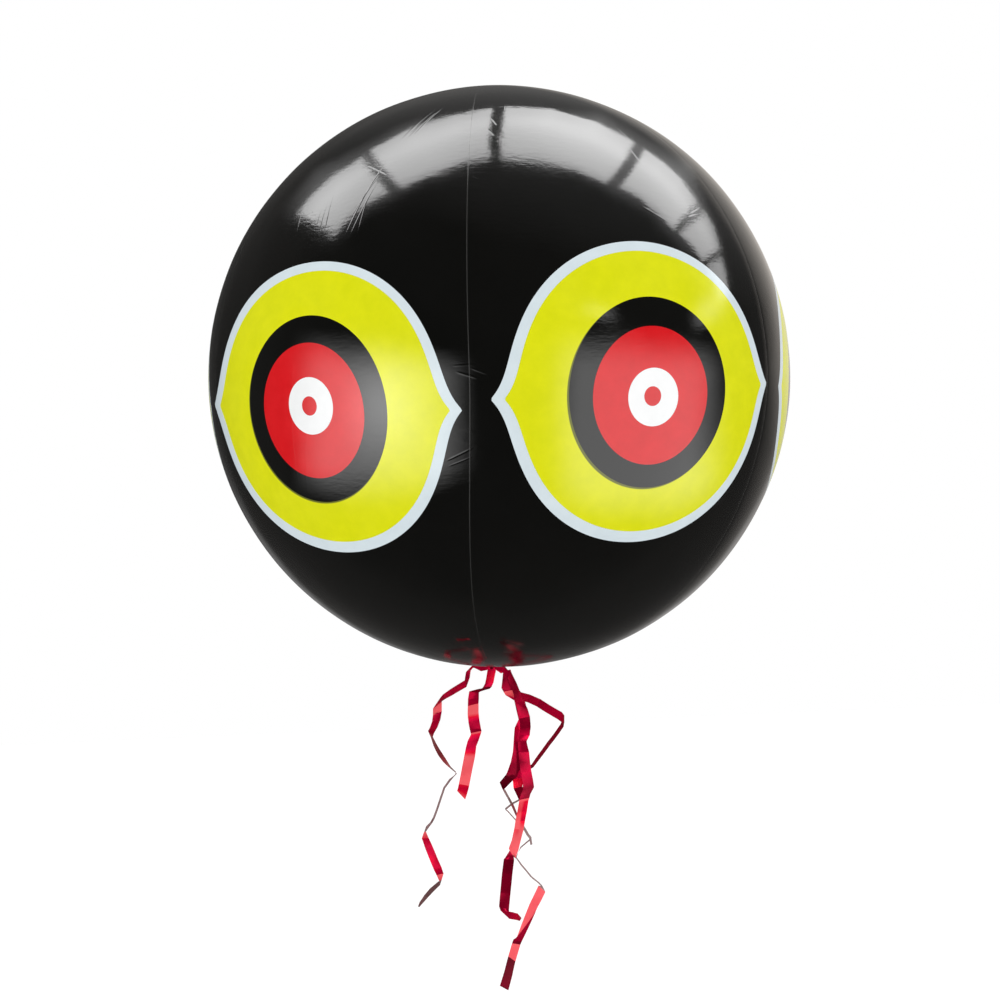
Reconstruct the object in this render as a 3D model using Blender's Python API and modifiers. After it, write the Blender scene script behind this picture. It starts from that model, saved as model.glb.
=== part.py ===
"""Bird scare balloon: a hanging vinyl ball with printed eyes and red foil streamers.

Metres, +Z up. The origin is the top of the ball, where its hanging tab is welded, and the ball's
axis is Z. Longitude 0 faces -Y and grows towards +X, so the side seen along +Y is the front.
"""
import math

import bpy
import numpy as np
from mathutils import Matrix, Vector

# Ball
ball_radius = 0.290
panel_count = 6
vinyl = 0.00025
piece_gap = 0.0003
pole_opening = 0.012
first_panel_lon = math.radians(25.4)
skirt_shares = (0.14, 0.30, 0.47, 0.65, 0.83)

# Printed eyes
eye_seam_margin = 0.0137
eye_drop = 0.0223
eye_shift = 0.0037
ink = 0.0001
ink_gap = 0.0004
eye_steps = 32
outline_share = 0.935
yellow_share = 0.875
yellow_point_share = 0.94
black_share = 0.567
red_share = 0.396
white_share = 0.176
dot_share = 0.053

# Weld patches at the top and the bottom
patch_reach = 0.040
patch_vinyl = 0.0004
patch_rows = 3
patch_steps = 30

# Hanging tab, its eyelet and washer
hang_tab_width = 0.026
hang_tab_length = 0.032
hang_tab_thickness = 0.0012
hang_tab_corner = 0.010
hang_tab_slope = math.radians(6.5)
eyelet_bore = 0.0040
eyelet_wall = 0.0006
eyelet_flange = 0.0072
eyelet_roll = 0.0062
eyelet_sheet = 0.0005
eyelet_edge = 0.0125
ring_steps = 24
weld_distance = 0.00001

# Streamer tab and the knot through it
streamer_tab_width = 0.016
streamer_tab_length = 0.0075
streamer_tab_thickness = 0.0006
streamer_tab_corner = 0.003
streamer_tab_left = 0.0195
streamer_tab_back = 0.014
tie_hole = 0.0020
tie_edge = 0.0018
tie_cord = 0.0007
knot_radius = 0.0020
knot_length = 0.0110
knot_steps = 12
corner_steps = 5

# Foil streamers
tape_width = 0.011
tape_thickness = 0.0003
tape_pinch_share = 0.3
tape_pinch_length = 0.022
tape_layer = 0.0119
tape_layer_at_knot = 0.0014
tape_fan_length = 0.055
streamer_drop = 0.333
streamer_lean = math.radians(2.4)
fold_share = 0.2

# Each row: sideways and downwards from the knot in shares of the drop, and the twist as a share
# of a quarter turn, where 0 faces the front and 1 stands edge on
left_shares = (
    (-0.037, 0.003, 0.3), (-0.065, 0.008, 0.5), (-0.080, 0.040, 0.4), (-0.123, 0.083, 0.15),
    (-0.165, 0.120, 0.2), (-0.172, 0.150, 0.3), (-0.188, 0.203, 0.6), (-0.157, 0.262, 0.7),
    (-0.114, 0.326, 0.85), (-0.145, 0.370, 0.8), (-0.166, 0.415, 0.75), (-0.185, 0.470, 0.7),
    (-0.210, 0.514, 0.55), (-0.185, 0.580, 0.5), (-0.157, 0.646, 0.5), (-0.185, 0.683, 0.7),
    (-0.225, 0.735, 0.7),
)
short_shares = (
    (-0.002, 0.030, 0.2), (-0.012, 0.058, 0.4), (-0.050, 0.074, 0.6), (-0.058, 0.120, 0.1),
    (-0.057, 0.152, 0.05), (-0.050, 0.200, 0.1), (-0.064, 0.243, 0.1), (-0.075, 0.282, 0.1),
    (-0.084, 0.330, 0.1), (-0.095, 0.394, 0.15),
)
middle_shares = (
    (0.037, 0.010, 0.2), (0.065, 0.040, 0.2), (0.080, 0.083, 0.2), (0.098, 0.126, 0.3),
    (0.100, 0.178, 0.3), (0.090, 0.230, 0.2), (0.095, 0.270, 0.3), (0.105, 0.317, 0.2),
    (0.110, 0.366, 0.2), (0.100, 0.410, 0.2), (0.082, 0.505, 0.2), (0.066, 0.560, 0.2),
    (0.055, 0.594, 0.4), (0.046, 0.630, 0.2), (0.036, 0.742, 0.2), (0.055, 0.770, 0.5),
    (0.086, 0.778, 0.7),
)
inner_shares = (
    (0.034, 0.012, 0.2), (0.046, 0.040, 0.1), (0.052, 0.077, 0.2), (0.071, 0.114, 0.3),
    (0.083, 0.170, 0.2), (0.080, 0.210, 0.2), (0.074, 0.255, 0.2), (0.062, 0.300, 0.2),
    (0.043, 0.340, 0.4), (0.028, 0.363, 0.8), (0.043, 0.390, 0.9), (0.068, 0.437, 0.9),
    (0.092, 0.486, 0.9), (0.123, 0.545, 0.9),
)
long_shares = (
    (0.040, 0.007, 0.3), (0.068, 0.040, 0.3), (0.092, 0.090, 0.4), (0.148, 0.110, 0.2),
    (0.212, 0.155, 0.6), (0.175, 0.225, 0.75), (0.126, 0.305, 0.75), (0.120, 0.363, 0.8),
    (0.083, 0.412, 0.9), (0.043, 0.438, 0.95), (0.070, 0.470, 0.95), (0.120, 0.530, 0.95),
    (0.088, 0.557, 0.95), (0.070, 0.590, 0.95), (0.117, 0.645, 0.85), (0.148, 0.682, 0.5),
    (0.120, 0.754, 0.2), (0.086, 0.815, 0.1), (0.065, 0.870, 0.1), (0.049, 0.920, 0.1),
    (0.037, 0.988, 0.1),
)
# Name, layer counted from the middle one towards the back, size as a share, and the course.
# A tape that hangs further back is that much larger than it looks from the front.
streamers = (
    ("streamer_left", -2, 1.00, left_shares),
    ("streamer_short", -1, 1.01, short_shares),
    ("streamer_middle", 0, 1.01, middle_shares),
    ("streamer_inner", 1, 1.02, inner_shares),
    ("streamer_long", 2, 1.03, long_shares),
)

# Inflation valve
valve_panel = 4
valve_row = 5
valve_column_share = 0.75
valve_flange_reach = 0.014
valve_flange_thickness = 0.0008
valve_flange_edge = 0.0004
valve_seat_gap = 0.0006
stem_bore = 0.0040
stem_wall = 0.0016
stem_rim = 0.0080
stem_rim_thickness = 0.0012
stem_bead = 0.0072
stem_bead_height = 0.0016
stem_travel = 0.012
plug_head = 0.0078
plug_head_thickness = 0.0016
plug_head_edge = 0.0004
plug_length = 0.0085
plug_tip = 0.0012
plug_tip_edge = 0.0006
strap_cord = 0.0007
strap_reach = 0.0042
flap_thickness = 0.0006
flap_gap = 0.0005
flap_setback = 0.0010

ball_centre = Vector((0, 0, -ball_radius))
patch_outer = ball_radius + piece_gap + patch_vinyl
eye_lat = -eye_drop / ball_radius
eye_reach = math.pi * ball_radius / panel_count - eye_seam_margin
panel_lons = [first_panel_lon + i * math.tau / panel_count for i in range(panel_count)]

# Colours from the photograph: linear red, green and blue, roughness, metallic
finishes = {
    "black_vinyl": ((0.006, 0.006, 0.005), 0.10, 0.0),
    "outline_ink": ((0.68, 0.77, 0.81), 0.15, 0.0),
    "yellow_ink": ((0.72, 0.76, 0.0), 0.15, 0.0),
    "red_ink": ((0.68, 0.008, 0.015), 0.15, 0.0),
    "white_ink": ((0.85, 0.86, 0.86), 0.15, 0.0),
    "patch_vinyl": ((0.008, 0.008, 0.007), 0.20, 0.0),
    "tab_vinyl": ((0.010, 0.010, 0.009), 0.25, 0.0),
    "nickel": ((0.60, 0.58, 0.55), 0.25, 1.0),
    "red_foil": ((0.60, 0.006, 0.035), 0.22, 0.9),
    "valve_vinyl": ((0.012, 0.012, 0.011), 0.30, 0.0),
}


def clear_scene():
    for thing in list(bpy.data.objects):
        bpy.data.objects.remove(thing, do_unlink=True)


def new_collection(name):
    collection = bpy.data.collections.new(name)
    bpy.context.scene.collection.children.link(collection)
    return collection


def make_materials():
    made = {}
    for name, (colour, roughness, metallic) in finishes.items():
        material = bpy.data.materials.new(name)
        material.use_nodes = True
        shader = material.node_tree.nodes["Principled BSDF"]
        shader.inputs["Base Color"].default_value = (*colour, 1)
        shader.inputs["Roughness"].default_value = roughness
        shader.inputs["Metallic"].default_value = metallic
        made[name] = material
    return made


def add_part(name, data, finish):
    """One named piece with its material, in the object's collection."""
    part = bpy.data.objects.new(name, data)
    parts.objects.link(part)
    data.materials.append(materials[finish])
    if part.type == "MESH":
        data.shade_smooth()
    return part


def add_pivot(name, place, matrix=None, parent=None):
    """An empty on a joint's axis, which carries the pieces that move with it."""
    pivot = bpy.data.objects.new(name, None)
    parts.objects.link(pivot)
    pivot.empty_display_size = tape_width
    pivot.parent = parent
    pivot.matrix_basis = Matrix.Translation(place) @ (matrix or Matrix())
    return pivot


def direction(lon, lat):
    """Unit vectors from the ball's centre to longitude lon and latitude lat."""
    return np.stack(
        [np.cos(lat) * np.sin(lon), -np.cos(lat) * np.cos(lon), np.sin(lat) + 0 * lon], axis=-1
    )


def print_ring(eye_lon, round_reach, point_reach):
    """A closed ring of directions about an eye's middle, with a point at its left and right."""
    turn = np.arange(eye_steps) * (math.tau / eye_steps)
    reach = np.full(eye_steps, float(round_reach))
    reach[[0, eye_steps // 2]] = point_reach
    arc = (reach / ball_radius)[:, None]
    middle = direction(eye_lon, eye_lat)
    east = direction(eye_lon + math.pi / 2, 0)
    north = direction(eye_lon, eye_lat + math.pi / 2)
    side = np.cos(turn)[:, None] * east + np.sin(turn)[:, None] * north
    return np.cos(arc) * middle + np.sin(arc) * side


def eye_lon_of(panel_lon):
    return panel_lon + eye_shift / ball_radius


def panel_edge(panel_lon):
    """Longitudes and latitudes round a panel's edge, one for each step of the eye's rings."""
    quarter = eye_steps // 4
    rise = np.arange(quarter) / (quarter - 1)
    pole_lat = math.acos(pole_opening / ball_radius)
    up = eye_lat + (pole_lat - eye_lat) * rise
    down = eye_lat - (pole_lat + eye_lat) * rise
    lats = np.concatenate([up, [pole_lat], up[::-1], down[1:], [-pole_lat], down[:0:-1]])
    right = np.ones(quarter)
    sides = np.concatenate([right, [0], -right, -right[1:], [0], right[1:]])
    half = math.pi / panel_count - np.arcsin(piece_gap / 2 / (ball_radius * np.cos(lats)))
    return panel_lon + sides * half, lats


def panel_rings(panel_lon):
    """A panel's rings, from the eye's middle through its printed rings out to the seams."""
    lon = eye_lon_of(panel_lon)
    rings = [direction(lon, eye_lat)[None]]
    for share in (white_share, red_share, black_share):
        rings.append(print_ring(lon, share * eye_reach, share * eye_reach))
    outline = print_ring(lon, outline_share * eye_reach, eye_reach)
    rings.append(outline)
    inner_lons = lon + np.arctan2(
        outline @ direction(lon + math.pi / 2, 0), outline @ direction(lon, 0)
    )
    inner_lats = np.arcsin(outline[:, 2])
    edge_lons, edge_lats = panel_edge(panel_lon)
    for share in (*skirt_shares, 1):
        lons = inner_lons + (edge_lons - inner_lons) * share
        lats = inner_lats + (edge_lats - inner_lats) * share
        rings.append(direction(lons, lats))
    return rings


def ball_sheet(name, rings, radius):
    """An open sheet through rings of directions, laid on a sphere round the ball's centre.

    Each four-sided cell is split along its shorter diagonal, which keeps the sheet round.
    """
    points = np.concatenate(rings) * radius + np.array(ball_centre)
    faces = []
    start = 0
    for inner, outer in zip(rings, rings[1:]):
        second = start + len(inner)
        for i in range(eye_steps):
            j = (i + 1) % eye_steps
            if len(inner) == 1:
                faces.append((start, second + i, second + j))
                continue
            a, b, c, d = start + i, second + i, second + j, start + j
            if np.linalg.norm(points[a] - points[c]) < np.linalg.norm(points[b] - points[d]):
                faces += [(a, b, c), (a, c, d)]
            else:
                faces += [(a, b, d), (b, c, d)]
        start = second
    mesh = bpy.data.meshes.new(name)
    mesh.from_pydata(points.tolist(), [], faces)
    return mesh


def thicken(part, thickness, offset):
    solid = part.modifiers.new("thickness", "SOLIDIFY")
    solid.thickness = thickness
    solid.offset = offset


def add_panels():
    made = []
    for number, lon in enumerate(panel_lons, 1):
        name = f"panel_{number}"
        panel = add_part(name, ball_sheet(name, panel_rings(lon), ball_radius), "black_vinyl")
        thicken(panel, vinyl, -1)
        made.append(panel)
    return made


def add_print(name, rings, finish):
    film = add_part(name, ball_sheet(name, rings, ball_radius + ink_gap), finish)
    thicken(film, ink, 1)


def add_eye(number, panel_lon):
    """One eye's films side by side on its panel. The black ring is the bare vinyl between them."""
    lon = eye_lon_of(panel_lon)

    def ring(share, margin=0, point_share=None):
        round_reach = share * eye_reach + margin
        return print_ring(lon, round_reach, (point_share or share) * eye_reach + margin)

    inside_outline = ring(yellow_share, piece_gap, yellow_point_share)
    yellow_edge = ring(yellow_share, 0, yellow_point_share)
    bands = (
        ("outline", "outline_ink", inside_outline, ring(outline_share, 0, 1)),
        ("yellow_field", "yellow_ink", ring(black_share), yellow_edge),
        ("red_ring", "red_ink", ring(white_share, piece_gap), ring(red_share)),
        ("white_ring", "white_ink", ring(dot_share, piece_gap), ring(white_share)),
        ("red_dot", "red_ink", direction(lon, eye_lat)[None], ring(dot_share)),
    )
    for name, finish, inner, outer in bands:
        add_print(f"eye_{number}_{name}", [inner, outer], finish)


def turned(name, profile, finish, closed=True, steps=ring_steps):
    """A profile of radii and heights turned about local Z, run down its outer side."""
    count = len(profile)
    edges = [(i, i + 1) for i in range(count - 1)]
    if closed:
        edges.append((count - 1, 0))
    mesh = bpy.data.meshes.new(name)
    mesh.from_pydata([(radius, 0, height) for radius, height in profile], edges, [])
    part = add_part(name, mesh, finish)
    screw = part.modifiers.new("turn", "SCREW")
    screw.steps = steps
    screw.render_steps = steps
    screw.use_merge_vertices = True
    screw.merge_threshold = weld_distance
    return part


def add_patch(name, flip):
    """A round cap of the ball's own curve, just above the panels, over the hole at their ends."""
    arcs = np.linspace(0, patch_reach / ball_radius, patch_rows + 1)
    inner = ball_radius + piece_gap
    outside = [(patch_outer * math.sin(a), patch_outer * math.cos(a)) for a in arcs]
    inside = [(inner * math.sin(a), inner * math.cos(a)) for a in arcs[::-1]]
    patch = turned(name, outside + inside, "patch_vinyl", closed=False, steps=patch_steps)
    patch.location = ball_centre
    patch.rotation_euler.x = math.pi if flip else 0
    return patch


def rounded_tab(width, length, corner):
    """Outline of a tab that is square at its weld, y 0, and has round corners at its free end."""
    half = width / 2
    points = [(-half, 0), (half, 0)]
    for side, first in ((1, 0), (-1, math.pi / 2)):
        for i in range(corner_steps + 1):
            angle = first + i * math.pi / 2 / corner_steps
            points.append((
                side * (half - corner) + corner * math.cos(angle),
                length - corner + corner * math.sin(angle),
            ))
    return points


def circle(radius, across, along, steps):
    angles = [i * math.tau / steps for i in range(steps)]
    return [(across + radius * math.cos(a), along + radius * math.sin(a)) for a in angles]


def add_plate(name, outlines, thickness, finish):
    """A flat piece in the local XY plane, its outlines filled and its thickness centred on it."""
    curve = bpy.data.curves.new(name, "CURVE")
    curve.dimensions = "2D"
    curve.fill_mode = "BOTH"
    curve.extrude = thickness / 2
    for outline in outlines:
        spline = curve.splines.new("POLY")
        spline.points.add(len(outline) - 1)
        for point, (x, y) in zip(spline.points, outline):
            point.co = (x, y, 0, 1)
        spline.use_cyclic_u = True
    return add_part(name, curve, finish)


def add_hang_tab():
    """The tab lies back slack from its weld on the top patch, with the eyelet near its end."""
    lift = piece_gap + patch_vinyl + piece_gap + hang_tab_thickness / 2
    slope = Matrix.Rotation(hang_tab_slope, 4, "X")
    pivot = add_pivot("hang_tab_fold", (0, 0, lift), slope)
    reach = hang_tab_length - eyelet_edge
    barrel = eyelet_bore + eyelet_wall
    outlines = (
        rounded_tab(hang_tab_width, hang_tab_length, hang_tab_corner),
        circle(barrel + piece_gap, 0, reach, ring_steps),
    )
    tab = add_plate("hang_tab", outlines, hang_tab_thickness, "tab_vinyl")
    top = hang_tab_thickness / 2 + piece_gap
    washer_low = -top - eyelet_sheet
    roll_high = washer_low - piece_gap
    eyelet = turned("hang_eyelet", [
        (eyelet_bore, top + eyelet_sheet),
        (eyelet_flange, top + eyelet_sheet),
        (eyelet_flange, top),
        (barrel, top),
        (barrel, roll_high),
        (eyelet_roll, roll_high),
        (eyelet_roll, roll_high - eyelet_sheet),
        (eyelet_bore, roll_high - eyelet_sheet),
    ], "nickel")
    washer = turned("hang_washer", [
        (barrel + piece_gap, -top),
        (eyelet_flange, -top),
        (eyelet_flange, washer_low),
        (barrel + piece_gap, washer_low),
    ], "nickel")
    tab.parent = pivot
    for ring in (eyelet, washer):
        ring.parent = pivot
        ring.location = (0, reach, 0)


def streamer_tab_seat():
    """Place and lean of the tab's weld: square to the patch below it, as seen from the front."""
    lean = math.asin(streamer_tab_left / patch_outer)
    depth = math.sqrt(patch_outer ** 2 - streamer_tab_left ** 2 - streamer_tab_back ** 2)
    place = ball_centre + Vector((-streamer_tab_left, streamer_tab_back, -depth - piece_gap))
    return place, Matrix.Rotation(lean, 4, "Y") @ Matrix.Rotation(-math.pi / 2, 4, "X")


def add_streamer_tab():
    """The tab hangs from the patch, and the knot is tied through its hole."""
    place, matrix = streamer_tab_seat()
    pivot = add_pivot("streamer_tab_fold", place, matrix)
    hole_reach = streamer_tab_length - tie_edge - tie_hole
    outlines = (
        rounded_tab(streamer_tab_width, streamer_tab_length, streamer_tab_corner),
        circle(tie_hole, 0, hole_reach, ring_steps),
    )
    tab = add_plate("streamer_tab", outlines, streamer_tab_thickness, "tab_vinyl")
    tab.parent = pivot
    knot_reach = streamer_tab_length + piece_gap + knot_radius
    add_knot(pivot, knot_reach, (knot_reach - hole_reach) / 2)
    return place + matrix.to_3x3() @ Vector((0, knot_reach, 0))


def add_knot(pivot, reach, loop_radius):
    """A wound barrel across the tapes, with the loop that goes up through the tab's hole."""
    middle = knot_length / 2 - knot_radius
    profile = [
        (knot_radius * math.sin(a), math.copysign(middle, math.cos(a)) + knot_radius * math.cos(a))
        for a in np.linspace(0, math.pi, knot_steps // 2)
    ]
    knot = turned("streamer_knot", profile, "red_foil", closed=False, steps=knot_steps)
    knot.parent = pivot
    knot.location = (0, reach, 0)
    bpy.ops.mesh.primitive_torus_add(
        major_radius=loop_radius, minor_radius=tie_cord,
        major_segments=knot_steps, minor_segments=knot_steps // 2,
        location=(0, -loop_radius, 0), rotation=(0, math.pi / 2, 0),
    )
    loop = as_cutter("knot_loop", knot)
    joined = knot.modifiers.new("loop", "BOOLEAN")
    joined.operation = "UNION"
    joined.object = loop


def as_cutter(name, parent):
    """The shape just added is put with the cutters, which aren't drawn."""
    cutter = bpy.context.object
    cutter.name = name
    for owner in list(cutter.users_collection):
        owner.objects.unlink(cutter)
    cutters.objects.link(cutter)
    cutter.hide_render = True
    cutter.display_type = "WIRE"
    cutter.parent = parent
    return cutter


def cut_corners(rows):
    """Each span gives a point near either end of it, and the first and last stay: softer folds."""
    early = rows[:-1] + (rows[1:] - rows[:-1]) * fold_share
    late = rows[1:] + (rows[:-1] - rows[1:]) * fold_share
    inner = np.stack([early, late], axis=1).reshape(-1, rows.shape[1])
    return np.concatenate([rows[:1], inner[1:-1], rows[-1:]])


def streamer_edges(shares, layer, size):
    """The tape's two edges, from the knot: a course in its own layer of depth, with its twist."""
    rows = np.array(shares) * (streamer_drop * size, streamer_drop * size, math.pi / 2)
    lean = math.cos(streamer_lean), math.sin(streamer_lean)
    across = rows[:, 0] * lean[0] - rows[:, 1] * lean[1]
    up = -rows[:, 1] * lean[0] - rows[:, 0] * lean[1]
    start = (knot_radius + piece_gap) / np.hypot(across[0], up[0])
    course = np.stack([across, up, rows[:, 2]], axis=1)
    course = cut_corners(np.concatenate([course[:1] * (start, start, 1), course]))
    reach = np.hypot(course[:, 0], course[:, 1])
    opened = np.clip(reach / tape_fan_length, 0, 1)
    pitch = tape_layer_at_knot + (tape_layer - tape_layer_at_knot) * opened
    pinch = tape_pinch_share + (1 - tape_pinch_share) * np.clip(reach / tape_pinch_length, 0, 1)
    half = tape_width / 2 * pinch
    room = (pitch - tape_thickness - piece_gap) / 2
    deep = np.minimum(half * np.sin(course[:, 2]), room)
    flat = np.sqrt(half ** 2 - deep ** 2)
    along = np.gradient(course[:, :2], axis=0)
    along /= np.linalg.norm(along, axis=1)[:, None]
    middle = np.stack([course[:, 0], layer * pitch, course[:, 1]], axis=1)
    sideways = np.stack([-along[:, 1] * flat, deep, along[:, 0] * flat], axis=1)
    return middle - sideways, middle + sideways


def add_streamers(knot_place):
    for name, layer, size, shares in streamers:
        first, second = streamer_edges(shares, layer, size)
        count = len(first)
        points = np.concatenate([first, second])
        faces = []
        for i in range(count - 1):
            faces.append((i, i + 1, count + i))
            faces.append((i + 1, count + i + 1, count + i))
        mesh = bpy.data.meshes.new(name)
        mesh.from_pydata(points.tolist(), [], faces)
        tape = add_part(name, mesh, "red_foil")
        tape.location = knot_place
        thicken(tape, tape_thickness, 0)


def valve_seat():
    """Middle and outward turn of the panel's flat quad that carries the valve."""
    rings = panel_rings(panel_lons[valve_panel - 1])
    column = int(eye_steps * valve_column_share) - 1
    corners = [
        Vector(rings[row][step]) * ball_radius + ball_centre
        for row in (valve_row, valve_row + 1) for step in (column, column + 1)
    ]
    middle = sum(corners, Vector()) / len(corners)
    outward = (corners[3] - corners[0]).cross(corners[2] - corners[1])
    if outward.dot(middle - ball_centre) < 0:
        outward.negate()
    return middle, outward.to_track_quat("Z", "Y").to_matrix().to_4x4()


def cut_valve_hole(panel, pivot, radius):
    bpy.ops.mesh.primitive_cylinder_add(
        vertices=ring_steps, radius=radius, depth=valve_flange_reach
    )
    hole = panel.modifiers.new("valve_hole", "BOOLEAN")
    hole.operation = "DIFFERENCE"
    hole.object = as_cutter("valve_hole", pivot)


def add_strap(parent, low, high, rim_edge, head_edge):
    """A thin cord of vinyl that loops from the plug's head round to the stem's rim."""
    curve = bpy.data.curves.new("valve_strap", "CURVE")
    curve.dimensions = "3D"
    curve.bevel_depth = strap_cord
    curve.bevel_resolution = 2
    curve.use_fill_caps = True
    turn = (high - low) / 2
    reach = max(rim_edge, head_edge) + strap_reach - turn
    course = [(head_edge, high)]
    for i in range(corner_steps * 2 + 1):
        angle = math.pi / 2 - i * math.pi / 2 / corner_steps
        course.append((reach + turn * math.cos(angle), low + turn + turn * math.sin(angle)))
    course.append((rim_edge, low))
    spline = curve.splines.new("POLY")
    spline.points.add(len(course) - 1)
    for point, (across, height) in zip(spline.points, course):
        point.co = (across, 0, height, 1)
    strap = add_part("valve_strap", curve, "valve_vinyl")
    strap.parent = parent


def add_flap(seat, low):
    """A disc inside the stem, hinged at the edge of the bore."""
    reach = stem_bore - flap_gap
    middle = low + flap_thickness / 2
    pivot = add_pivot("valve_flap_hinge", (0, -reach, middle), parent=seat)
    flap = turned("valve_flap", [
        (0, flap_thickness / 2),
        (reach, flap_thickness / 2),
        (reach, -flap_thickness / 2),
        (0, -flap_thickness / 2),
    ], "valve_vinyl", closed=False)
    flap.parent = pivot
    flap.location = (0, reach, 0)


def add_valve(panel):
    """The pushed-in valve: flange on the panel, stem through it, plug in the stem, flap below."""
    place, matrix = valve_seat()
    seat = add_pivot("valve_axis", place, matrix)
    stem_outer = stem_bore + stem_wall
    stem_hole = stem_outer + piece_gap
    cut_valve_hole(panel, seat, stem_hole + piece_gap)
    flange_top = valve_seat_gap + valve_flange_thickness
    flange = turned("valve_flange", [
        (stem_hole, flange_top),
        (valve_flange_reach - valve_flange_edge, flange_top),
        (valve_flange_reach, valve_seat_gap),
        (stem_hole, valve_seat_gap),
    ], "valve_vinyl")
    rim_low = flange_top + piece_gap
    rim_top = rim_low + stem_rim_thickness
    bead_top = -vinyl - piece_gap - stem_travel
    stem_low = bead_top - stem_bead_height
    stem = turned("valve_stem", [
        (stem_bore, rim_top),
        (stem_rim, rim_top),
        (stem_rim, rim_low),
        (stem_outer, rim_low),
        (stem_outer, bead_top),
        (stem_bead, bead_top),
        (stem_outer, stem_low),
        (stem_bore, stem_low),
    ], "valve_vinyl")
    head_low = rim_top + piece_gap
    head_top = head_low + plug_head_thickness
    shaft = stem_bore - piece_gap
    plug = turned("valve_plug", [
        (0, head_top),
        (plug_head - plug_head_edge, head_top),
        (plug_head, head_top - plug_head_edge),
        (plug_head, head_low),
        (shaft, head_low),
        (shaft, head_low - plug_length + plug_tip),
        (shaft - plug_tip_edge, head_low - plug_length),
        (0, head_low - plug_length),
    ], "valve_vinyl", closed=False)
    for piece in (flange, stem, plug):
        piece.parent = seat
    add_flap(seat, stem_low + flap_setback)
    strap_low = (rim_low + rim_top) / 2
    strap_high = (head_low + head_top) / 2
    add_strap(seat, strap_low, strap_high, stem_rim + piece_gap, plug_head + piece_gap)


clear_scene()
parts = new_collection("bird_scare_balloon")
cutters = new_collection("cutters")
materials = make_materials()
panels = add_panels()
for eye_number, middle_lon in enumerate(panel_lons, 1):
    add_eye(eye_number, middle_lon)
add_patch("top_patch", flip=False)
add_patch("bottom_patch", flip=True)
add_hang_tab()
add_streamers(add_streamer_tab())
add_valve(panels[valve_panel - 1])
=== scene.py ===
import math

import bmesh
import bpy
import numpy as np
from mathutils import Matrix


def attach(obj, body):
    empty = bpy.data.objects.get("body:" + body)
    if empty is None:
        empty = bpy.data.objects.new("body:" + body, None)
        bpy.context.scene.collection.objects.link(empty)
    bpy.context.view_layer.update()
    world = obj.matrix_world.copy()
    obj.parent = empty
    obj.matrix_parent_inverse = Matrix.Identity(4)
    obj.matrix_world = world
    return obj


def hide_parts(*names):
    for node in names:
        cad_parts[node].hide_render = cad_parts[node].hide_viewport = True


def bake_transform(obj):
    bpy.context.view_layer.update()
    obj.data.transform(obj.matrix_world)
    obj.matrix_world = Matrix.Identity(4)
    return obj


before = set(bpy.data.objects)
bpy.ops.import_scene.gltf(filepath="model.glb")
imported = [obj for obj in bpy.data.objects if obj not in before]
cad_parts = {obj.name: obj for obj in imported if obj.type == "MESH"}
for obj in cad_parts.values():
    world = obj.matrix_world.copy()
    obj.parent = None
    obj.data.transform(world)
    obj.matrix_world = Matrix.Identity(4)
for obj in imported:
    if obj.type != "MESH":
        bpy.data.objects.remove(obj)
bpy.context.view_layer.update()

# The ball, in metres, with the sizes of the CAD source
ball_radius = 0.290
ball_middle = np.array([0.0, 0.0, -ball_radius])
panel_count = 6
first_panel_lon = math.radians(25.4)
panel_step = math.tau / panel_count
vinyl = 0.00025
seam_gap = 0.00006
pole_opening = 0.012
patch_reach = 0.040
patch_vinyl = 0.0004
patch_lift = 0.0003
# How far the weld seams are turned about the axis at the lower pole, as the photograph shows
seam_turn = math.radians(6.2)
seam_turn_power = 1.5

# The printed eyes: their place on each panel, and their films' lift off the skin and thickness
eye_drop = 0.0223
eye_shift = 0.0037
film_lift = 0.00004
film = 0.00002
# Reaches of the circles from the eye's middle, and the gap between two films, in degrees of the ball
dot_reach = 1.58
white_reach = 4.72
red_reach = 11.1
black_reach = 15.4
film_gap = 0.01
# How fast the points at an eye's sides fall off, in degrees: the yellow's, and the outline's rim
point_width = 6.0
point_rim_width = 8.0
# By how many degrees two of the circles reach farther up and down, and less far to the sides
hole_oval = 0.28
red_oval = 0.18

# The foil streamers' tape, and how far behind the ball's middle it is tied
tape_width = 0.011
tape_depth = 0.014

# The view of the photograph, in its frame of 1000 x 1000
frame_pixels = 1000
focal_pixels = 1219.6
middle_pixel = (499.2, 376.0)
view_distance = 1.25
view_roll = math.radians(2.37)
view_pitch = math.radians(0.58)
sensor = 36.0


def view_axes():
    """Right, forward and up of the camera: the ball's axes pitched about X after a roll about Y."""
    turn = Matrix.Rotation(view_pitch, 3, "X") @ Matrix.Rotation(view_roll, 3, "Y")
    return np.array(turn).T


view_right, view_forward, view_up = view_axes()
view_place = ball_middle - view_forward * view_distance


def add_camera():
    """The camera looks at the ball's middle, and its shift puts that point where the photograph has
    it."""
    data = bpy.data.cameras.new("camera")
    data.sensor_width = sensor
    data.lens = focal_pixels / frame_pixels * sensor
    data.shift_x = 0.5 - middle_pixel[0] / frame_pixels
    data.shift_y = middle_pixel[1] / frame_pixels - 0.5
    camera = bpy.data.objects.new("camera", data)
    bpy.context.scene.collection.objects.link(camera)
    matrix = np.eye(4)
    matrix[:3, 0] = view_right
    matrix[:3, 1] = view_up
    matrix[:3, 2] = -view_forward
    matrix[:3, 3] = view_place
    camera.matrix_world = Matrix(matrix.tolist())
    bpy.context.scene.camera = camera


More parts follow.
